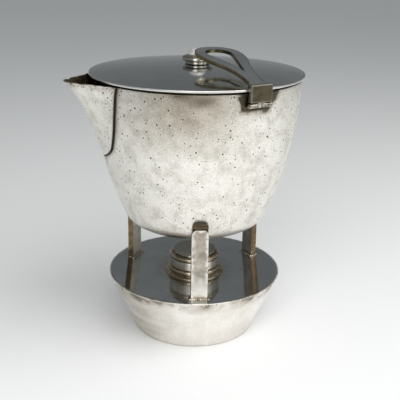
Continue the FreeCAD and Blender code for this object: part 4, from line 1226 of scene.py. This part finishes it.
def pot_tarnish_and_shade(spot):
    """Painted shadow, dark reflection and tarnish under the rim, painted shade beside the spout's seams,
    darker round the bottom edge and the hinge, and a thin film.
    """
    drop = POT_RIM - spot.z
    away, local = seam_distance(spot)
    # Painted shade in the crease beside the spout's seams.
    seam = 1.3 - away / SEAM_SHADOW if local.x > 0 else 0.0
    drawn = Vector((spot.x, spot.y, 0.45 * spot.z))
    # A band under the rim: partly tarnish, partly a painted dark reflection.
    under_rim = 0.8 * fade(drop, UNDER_RIM_DEPTH) * blotch(drawn, size=20 * MM, seed=2.0, floor=0.35)
    # Painted shadow and dark reflection under the rim, on the side that faces the camera.
    shadow = turned_away(spot, SHADOW_ANGLE, SHADOW_SPREAD) * max(0.0, 1 - (drop / SHADOW_DEPTH)**2)
    shadow *= 0.64 + 0.42 * rough_share(Vector((spot.x, spot.y, 3.0 * spot.z)), size=13 * MM, seed=17.0)
    # Darker round the bottom edge, more so on one side.
    low_darkening = turned_away(spot, LOW_DARKENING_ANGLE, LOW_DARKENING_SPREAD)
    bottom = low_darkening + 1.8 * blotch(spot, size=14 * MM, seed=6.0, floor=0.2)
    bottom *= fade(spot.z - POT_FLOOR, BOTTOM_STAIN_HEIGHT)
    faint_darkening = 0.35 * blotch(spot, size=15 * MM, seed=12.0, floor=0.45)
    return max(seam, under_rim, shadow, bottom, hinge_darkening(spot), faint_darkening)


def pot_eaten(spot):
    """Fine corrosion along the rim and round the hinge plate."""
    rim = 0.9 * fade(POT_RIM - spot.z, POT_EATEN_DEPTH) * rough_share(spot, size=9 * MM, seed=3.0)
    by_hinge = spot.y < 0 and abs(spot.x) < HINGE_EATEN_HALF and spot.z > HINGE_DARK_FOOT - POT_EATEN_DEPTH
    return rim + (0.6 if by_hinge else 0.0)


# The cut edge of the opening into the spout is painted black: painted shade.
second_metal(pot, black_solder_and_shade_metal, opening_edge)
paint(pot, "inside", pot_inside)
paint(pot, "tarnish_and_shade", pot_tarnish_and_shade)
paint(pot, "eaten", pot_eaten)
smooth(pot)
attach(pot, "pot")
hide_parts("pot_body")

# Hinge plate: a shield of sheet soldered on the wall under the hinge.
# It is dark olive, with slightly lighter edges.
SHIELD_NEAR = 0.05 * MM
SHIELD_FAR = 0.85 * MM
SHIELD_TOP_HALF = 10.0 * MM
SHIELD_BOTTOM_HALF = 7.0 * MM
HINGE_ANGLE = 270.0
FILED = (700.0, 700.0, 90.0)
shield_low, shield_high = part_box("hinge_plate")


def shield_half(height):
    """Half width of the shield, which narrows downwards."""
    share = (height - shield_low.z) / (shield_high.z - shield_low.z)
    return SHIELD_BOTTOM_HALF + (SHIELD_TOP_HALF - SHIELD_BOTTOM_HALF) * share


olive_metal = silver_plate("olive_plate", (0.185, 0.16, 0.105, 1), (0.075, 0.062, 0.038, 1), roughness=0.28,
                           stretch=FILED, pit_share=0.3, pit_size=0.4 * MM, patches=150.0, lined=0.2)
# Dark olive for the shield's face, and painted shade on the walls inside the strap's eye.
dark_olive_and_shade_metal = silver_plate("dark_olive_plate", (0.105, 0.09, 0.058, 1), (0.04, 0.033, 0.021, 1),
                          roughness=0.32, stretch=FILED, pit_share=0.3, pit_size=0.4 * MM, patches=240.0,
                          lined=0.2)
shield = wall_strip("hinge_shield", shield_low.z, shield_high.z, shield_half, SHIELD_NEAR, SHIELD_FAR,
                    HINGE_ANGLE, dark_olive_and_shade_metal, olive_metal)
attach(shield, "pot")
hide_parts("hinge_plate")

# Hinge barrels and pin: three short brass tubes with leaves, two on the shield and one on the lid's block,
# turning on a brass pin. They are dark, with the plate rubbed white in spots.
rubbed_metal = silver_plate("rubbed_plate", (0.15, 0.125, 0.08, 1), (0.95, 0.92, 0.85, 1), roughness=0.25,
                            stretch=FILED, pit_share=0.2, patches=420.0, bare=0.35)
for name in ("pot_knuckles", "hinge_pin", "lid_knuckle"):
    node = frame["nodes"][name]
    node.data.materials.clear()
    node.data.materials.append(rubbed_metal)

# Lid: a shallow dome of sheet brass, silver plated and polished like a mirror, with a bright thin edge.
# It closes the pot and overhangs its rim a little.
LID_RADIUS = 57.0 * MM
LID_SHEET = 1.1 * MM
LID_RISE = 3.8 * MM
LID_RINGS = 44
lid_low, lid_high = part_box("lid_plate")
lid_bow = (LID_RADIUS**2 + LID_RISE**2) / (2 * LID_RISE)


def lid_under(radius):
    """Height of the lid's lower face."""
    return lid_low.z + LID_RISE - lid_bow + math.sqrt(lid_bow**2 - radius**2)


lid_radii = [LID_RADIUS * step / LID_RINGS for step in range(LID_RINGS + 1)]
lid_outline = [(radius, lid_under(radius)) for radius in lid_radii]
lid_outline[-1] = (*lid_outline[-1], EDGE)
lid_top = [(radius, lid_under(radius) + LID_SHEET) for radius in reversed(lid_radii)]
lid_top[0] = (*lid_top[0], EDGE)
lid_metal = mirror_plate("polished_lid", MIRROR, MIRROR_DULL, roughness=0.05, pit_share=0.08)
lid = spun("lid_polished", rounded([*lid_outline, *lid_top]), lid_metal, LARGE_STEPS)
hand_worked(lid, depth=0.03 * MM, size=30 * MM)
edge_metal = silver_plate("rubbed_lid_edge", (0.93, 0.92, 0.89, 1), (0.80, 0.78, 0.73, 1), roughness=0.30,
                          stretch=(60.0, 60.0, 900.0), patches=120.0)
second_metal(lid, edge_metal, lambda spot: math.hypot(spot.x, spot.y) > LID_RADIUS - EDGE)
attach(lid, "lid")
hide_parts("lid_plate")

# Bezel: a turned ring soldered under the lid, whose skirt drops into the pot's mouth.
# Its flange, between the lid's edge and the pot's rim, is painted black as the shade in that gap.
SKIRT_OUTER = 52.4 * MM
SKIRT_INNER = 51.4 * MM
FLANGE_INNER = 50.8 * MM
FLANGE_SETBACK = 0.5 * MM
BEZEL_SEAT = 0.3 * MM
BEZEL_STEPS = 192
bezel_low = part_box("lid_bezel")[0]
flange_outer = POT_RIM_RADIUS - FLANGE_SETBACK
bezel_seat = POT_RIM + BEZEL_SEAT
bezel_outline = rounded([
    (FLANGE_INNER, bezel_seat), (SKIRT_INNER, bezel_seat), (SKIRT_INNER, bezel_low.z, EDGE),
    (SKIRT_OUTER, bezel_low.z, EDGE), (SKIRT_OUTER, bezel_seat), (flange_outer, bezel_seat),
    (flange_outer, lid_under(flange_outer) - SEAM_GAP), (FLANGE_INNER, lid_under(FLANGE_INNER) - SEAM_GAP),
    (FLANGE_INNER, bezel_seat)])
bezel = spun("lid_skirt", bezel_outline, brown_metal, BEZEL_STEPS)
# The flange is painted black: painted shade in the gap under the lid's edge.
second_metal(bezel, black_solder_and_shade_metal, lambda spot: math.hypot(spot.x, spot.y) > SKIRT_OUTER + EDGE)
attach(bezel, "lid")
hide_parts("lid_bezel")

# Knob: two turned rings with half-round edges, stacked on a post at the centre of the lid.
# The upper ring slopes up to the post; the post and the steep part of the slope are a painted near-white
# highlight beside the end of the strap, and the flat part is a painted dark reflection.
POST_BORE = 3.65 * MM
POST_DOME = 0.5 * MM
KNOB_CROWN = 3.5 * MM
CROWN_WAIST = 5.0 * MM
CROWN_WAIST_RISE = 1.0 * MM
KNOB_STEPS = 96
POST_STEPS = 48
knob_metal = mirror_plate("polished_knob", (0.64, 0.62, 0.56, 1), (0.30, 0.28, 0.22, 1), roughness=0.16,
                          pit_share=0.15)
foot_low, foot_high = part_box("knob_foot")
foot_outline = [(POST_BORE, foot_low.z), *half_round(foot_high.x, foot_low.z, foot_high.z),
                (POST_BORE, foot_high.z), (POST_BORE, foot_low.z)]
knob_foot = spun("knob_lower_ring", foot_outline, knob_metal, KNOB_STEPS)
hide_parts("knob_foot")
ring_low, ring_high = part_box("knob_ring")
ring_edge = ring_high.z - KNOB_CROWN
waist_height = ring_edge + CROWN_WAIST_RISE
ring_outline = [(POST_BORE, ring_low.z), *half_round(ring_high.x, ring_low.z, ring_edge),
                (CROWN_WAIST + EDGE, waist_height - EDGE / 2), (CROWN_WAIST, waist_height),
                (POST_BORE, ring_high.z), (POST_BORE, ring_low.z)]
knob_ring = spun("knob_upper_ring", ring_outline, knob_metal, KNOB_STEPS)


def knob_dark_reflection(spot):
    """A painted dark reflection, brown, on the flat part of the upper ring's slope."""
    return 0.9 if abs(spot.z - ring_edge - EDGE) < CROWN_WAIST_RISE - 1.6 * EDGE else 0.0


paint(knob_ring, "tarnish_and_shade", knob_dark_reflection)
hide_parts("knob_ring")
# Near white and partly non-metallic: a painted highlight on the post and the steep slope.
highlight_post_metal = silver_plate("rubbed_post", (0.97, 0.96, 0.93, 1), (0.80, 0.78, 0.72, 1), roughness=0.30,
                          stretch=(90.0, 90.0, 900.0), patches=200.0, clean=0.6)
# The steep slope above the waist takes the painted highlight.
second_metal(knob_ring, highlight_post_metal, lambda spot: spot.z > waist_height)
post_low, post_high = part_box("knob_post")
post_outline = rounded([(0.0, post_low.z), (post_high.x, post_low.z),
                        (post_high.x, post_high.z - POST_DOME, POST_DOME), (0.0, post_high.z)])
knob_post = spun("knob_centre_post", post_outline, highlight_post_metal, POST_STEPS)
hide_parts("knob_post")
for piece in (knob_foot, knob_ring, knob_post):
    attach(piece, "lid")

# Strap: an arched leaf of thick sheet with a round end and a pointed eye, bent from the hinge block to
# beside the knob. Its upper face is polished dark, and its sawn edges are golden brown.
STRAP_SHEET = 1.7 * MM
STRAP_ARCH = 170.0 * MM
STRAP_START = 57.05 * MM
STRAP_CREST = STRAP_START - 63.0 * MM
STRAP_CREST_RISE = 10.4 * MM
STRAP_NECK = 53.5 * MM
STRAP_NECK_HALF = 4.1 * MM
STRAP_LEAF = 21.3 * MM
STRAP_LEAF_HALF = 12.2 * MM
STRAP_END_HALF = 6.0 * MM
STRAP_FLARE = 38.0 * MM
STRAP_COLUMNS = 10
STRAP_WEAR = 0.22 * MM
EYE_CENTRE = 21.4 * MM
EYE_RADIUS = 6.8 * MM
EYE_POINT = 44.4 * MM
OUTLINE_SHADE_WIDTH = 0.35 * MM
crest_height = lid_high.z + STRAP_CREST_RISE
strap_tip = STRAP_LEAF - STRAP_LEAF_HALF
flare_run = STRAP_NECK - STRAP_LEAF
flare_rise = STRAP_LEAF_HALF - STRAP_NECK_HALF
flare_sum = (flare_run**2 + flare_rise**2) / (2 * flare_rise)
flare_turn = STRAP_NECK - flare_run * STRAP_FLARE / flare_sum
eye_start = EYE_CENTRE - EYE_RADIUS
eye_turn = EYE_CENTRE + EYE_RADIUS**2 / (EYE_POINT - EYE_CENTRE)
eye_side = math.sqrt(EYE_RADIUS**2 - (eye_turn - EYE_CENTRE)**2)


def arc_depth(run, rise, at):
    """How far an arc that rises by rise over run has risen at a distance from its flat end."""
    curve = (run**2 + rise**2) / (2 * rise)
    return curve - math.sqrt(curve**2 - at**2)


def strap_half(distance):
    """Half width of the strap at a distance from the pot's axis."""
    if distance < STRAP_LEAF:
        return math.sqrt(max(STRAP_LEAF_HALF**2 - (STRAP_LEAF - distance)**2, 0.0))
    if distance < flare_turn:
        curve = flare_sum - STRAP_FLARE
        return STRAP_LEAF_HALF - curve + math.sqrt(curve**2 - (distance - STRAP_LEAF)**2)
    if distance < STRAP_NECK:
        return STRAP_NECK_HALF + STRAP_FLARE - math.sqrt(STRAP_FLARE**2 - (STRAP_NECK - distance)**2)
    return STRAP_NECK_HALF + arc_depth(STRAP_START - STRAP_NECK, STRAP_END_HALF - STRAP_NECK_HALF,
                                       distance - STRAP_NECK)


def strap_gap(distance):
    """Half width of the eye at a distance from the axis."""
    if eye_start < distance < eye_turn:
        return math.sqrt(EYE_RADIUS**2 - (distance - EYE_CENTRE)**2)
    if eye_turn <= distance < EYE_POINT:
        return eye_side * (EYE_POINT - distance) / (EYE_POINT - eye_turn)
    return 0.0


def strap_outline_shade(spot):
    """1 along the strap's outline and round its eye: a painted dark line of shade."""
    gap = strap_gap(-spot.y)
    away = strap_half(-spot.y) - abs(spot.x)
    if gap > 0.0:
        away = min(away, abs(abs(spot.x) - gap))
    return 1.4 - away / OUTLINE_SHADE_WIDTH


strap_rows = []
for start, end, steps in ((strap_tip, eye_start, 14), (eye_start, eye_turn, 18), (eye_turn, EYE_POINT, 26),
                          (EYE_POINT, STRAP_START, 16)):
    shares = [(1 - math.cos(math.pi * step / steps)) / 2 for step in range(steps)]
    strap_rows += [start + (end - start) * share for share in shares]
strap_rows.append(STRAP_START)
shape = bmesh.new()
for side in (-1, 1):
    rows = []
    for distance in strap_rows:
        gap, half = strap_gap(distance), strap_half(distance)
        height = crest_height - STRAP_ARCH + math.sqrt(STRAP_ARCH**2 - (distance - STRAP_CREST)**2)
        rows.append([shape.verts.new((side * (gap + (half - gap) * step / STRAP_COLUMNS), -distance, height))
                     for step in range(STRAP_COLUMNS + 1)])
    for nearer, further in zip(rows, rows[1:]):
        for step in range(STRAP_COLUMNS):
            corners = [nearer[step], further[step], further[step + 1], nearer[step + 1]]
            shape.faces.new(corners if side > 0 else list(reversed(corners)))
bmesh.ops.remove_doubles(shape, verts=shape.verts, dist=0.001 * MM)
strap = linked("strap_leaf", meshed("strap_leaf", shape))
slate_metal = mirror_plate("slate_polish", (0.72, 0.745, 0.74, 1), (0.47, 0.475, 0.45, 1), roughness=0.12,
                           pit_share=0.15)
sawn_metal = silver_plate("sawn_edge", (0.40, 0.325, 0.17, 1), (0.13, 0.10, 0.05, 1), roughness=0.28,
                          stretch=FILED, pit_share=0.15, patches=170.0, lined=0.2)
strap_metals = [slate_metal, sawn_metal, burner_metal, dark_olive_and_shade_metal]
for metal in strap_metals:
    strap.data.materials.append(metal)
sheet = strap.modifiers.new("sheet", "SOLIDIFY")
sheet.thickness = STRAP_SHEET
sheet.offset = -1.0
sheet.material_offset = strap_metals.index(burner_metal)
sheet.material_offset_rim = strap_metals.index(sawn_metal)
worn_edges(strap, STRAP_WEAR)
# The sawn walls of the eye take the darkest metal: painted shade inside the eye.
for face in strap.data.polygons:
    sawn = face.material_index == strap_metals.index(sawn_metal)
    if sawn and abs(face.center.x) < strap_gap(-face.center.y) + STRAP_SHEET / 4:
        face.material_index = strap_metals.index(dark_olive_and_shade_metal)
# Painted shade: a dark line along the strap's outline and round its eye.
paint(strap, "border", strap_outline_shade)
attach(strap, "lid")
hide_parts("lid_strap")

# Hinge block: a sawn and filed block of brass at the rim, soldered to the strap's end.
# Its faces are dark olive with rubbed lighter borders, and a small dent in the outer one.
BLOCK_COLUMNS = 30
BLOCK_ROWS = 20
BLOCK_WEAR = 0.4 * MM
BLOCK_BORDER = 0.9 * MM
DENT_DEPTH = 0.25 * MM
DENT_ACROSS = 0.5
DENT_ALONG = 0.55
DENT_HALF_WIDTH = 0.03
DENT_HALF_HEIGHT = 0.14
block_low, block_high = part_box("hinge_block")


def block_point(across, along, side):
    """A point on the block's inner or outer face, with the dent sunk into the outer one."""
    spot = Vector((block_low.x + (block_high.x - block_low.x) * across,
                   block_low.y if side else block_high.y,
                   block_low.z + (block_high.z - block_low.z) * along))
    if side and abs(across - DENT_ACROSS) < DENT_HALF_WIDTH and abs(along - DENT_ALONG) < DENT_HALF_HEIGHT:
        spot.y += DENT_DEPTH
    return spot


def block_rub(spot):
    """Slight wear along the borders of the block's faces."""
    border = min(spot.x - block_low.x, block_high.x - spot.x, spot.z - block_low.z, block_high.z - spot.z)
    return 0.22 * fade(border, BLOCK_BORDER)


filed = slab("hinge_block_filed", BLOCK_COLUMNS, BLOCK_ROWS, block_point, olive_metal, olive_metal)
block = worn_edges(filed, BLOCK_WEAR)
paint(block, "rub", block_rub)
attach(block, "lid")
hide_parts("hinge_block")

# Solder: uneven beads of it lie round the feet of the legs, where these are fixed to the plate.
# They are brown with flux and heat.
BEAD_STEP = 1.1 * MM
BEAD_SIZE = 0.75 * MM
BEAD_SEED = 11
BEAD_LEAST = (0.8, 0.8, 0.35)
BEAD_MOST = (1.5, 1.5, 0.9)
BEAD_RISE = 0.1 * MM
FOOT_MARGIN = 0.35 * MM


def solder_tree():
    """Geometry nodes that lay uneven beads of solder along a line."""
    tree, given = new_group("solder_beads", "GeometryNodeTree",
                            {"Line": "Geometry", "Step": "Float", "Size": "Float", "Seed": "Int",
                             "Solder": "Material"}, {"Beads": "Geometry"})
    line = add(tree, "GeometryNodeMeshToCurve", {0: given["Line"]}).outputs[0]
    points = add(tree, "GeometryNodeResampleCurve", {"Curve": line, "Length": given["Step"]}, mode="LENGTH")
    bead = add(tree, "GeometryNodeMeshIcoSphere", {"Radius": given["Size"], "Subdivisions": 2}).outputs[0]
    chance = add(tree, "FunctionNodeRandomValue", {0: BEAD_LEAST, 1: BEAD_MOST, "Seed": given["Seed"]},
                 data_type="FLOAT_VECTOR")
    beads = add(tree, "GeometryNodeInstanceOnPoints", {"Points": points.outputs[0], "Instance": bead,
                                                       "Scale": chance.outputs[0]}).outputs[0]
    return closed(tree, beads, given["Solder"], "Beads")


solder_metal = silver_plate("browned_solder", (0.74, 0.68, 0.57, 1), (0.18, 0.14, 0.09, 1), roughness=0.20,
                            stretch=(300.0, 300.0, 300.0), pit_share=0.2, pit_size=0.3 * MM, patches=320.0)
foot_inner = LEG_INNER - FOOT_MARGIN
foot_outer = LEG_INNER + LEG_THICK + FOOT_MARGIN
foot_half = LEG_WIDTH / 2 + FOOT_MARGIN
corners, edges = [], []
for turn in leg_turns.values():
    first = len(corners)
    for radius, aside in ((foot_inner, -foot_half), (foot_inner, foot_half), (foot_outer, foot_half),
                          (foot_outer, -foot_half)):
        height = plate_top(math.hypot(radius, aside)) + BEAD_RISE
        corners.append(turn @ Vector((radius, aside, height)))
    edges += [(first + index, first + (index + 1) % 4) for index in range(4)]
foot_lines = bpy.data.meshes.new("foot_lines")
foot_lines.from_pydata(corners, edges, [])
solder = smooth(grown("foot_solder", foot_lines, solder_tree(), Step=BEAD_STEP, Size=BEAD_SIZE,
                      Seed=BEAD_SEED, Solder=solder_metal))
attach(solder, "stand")
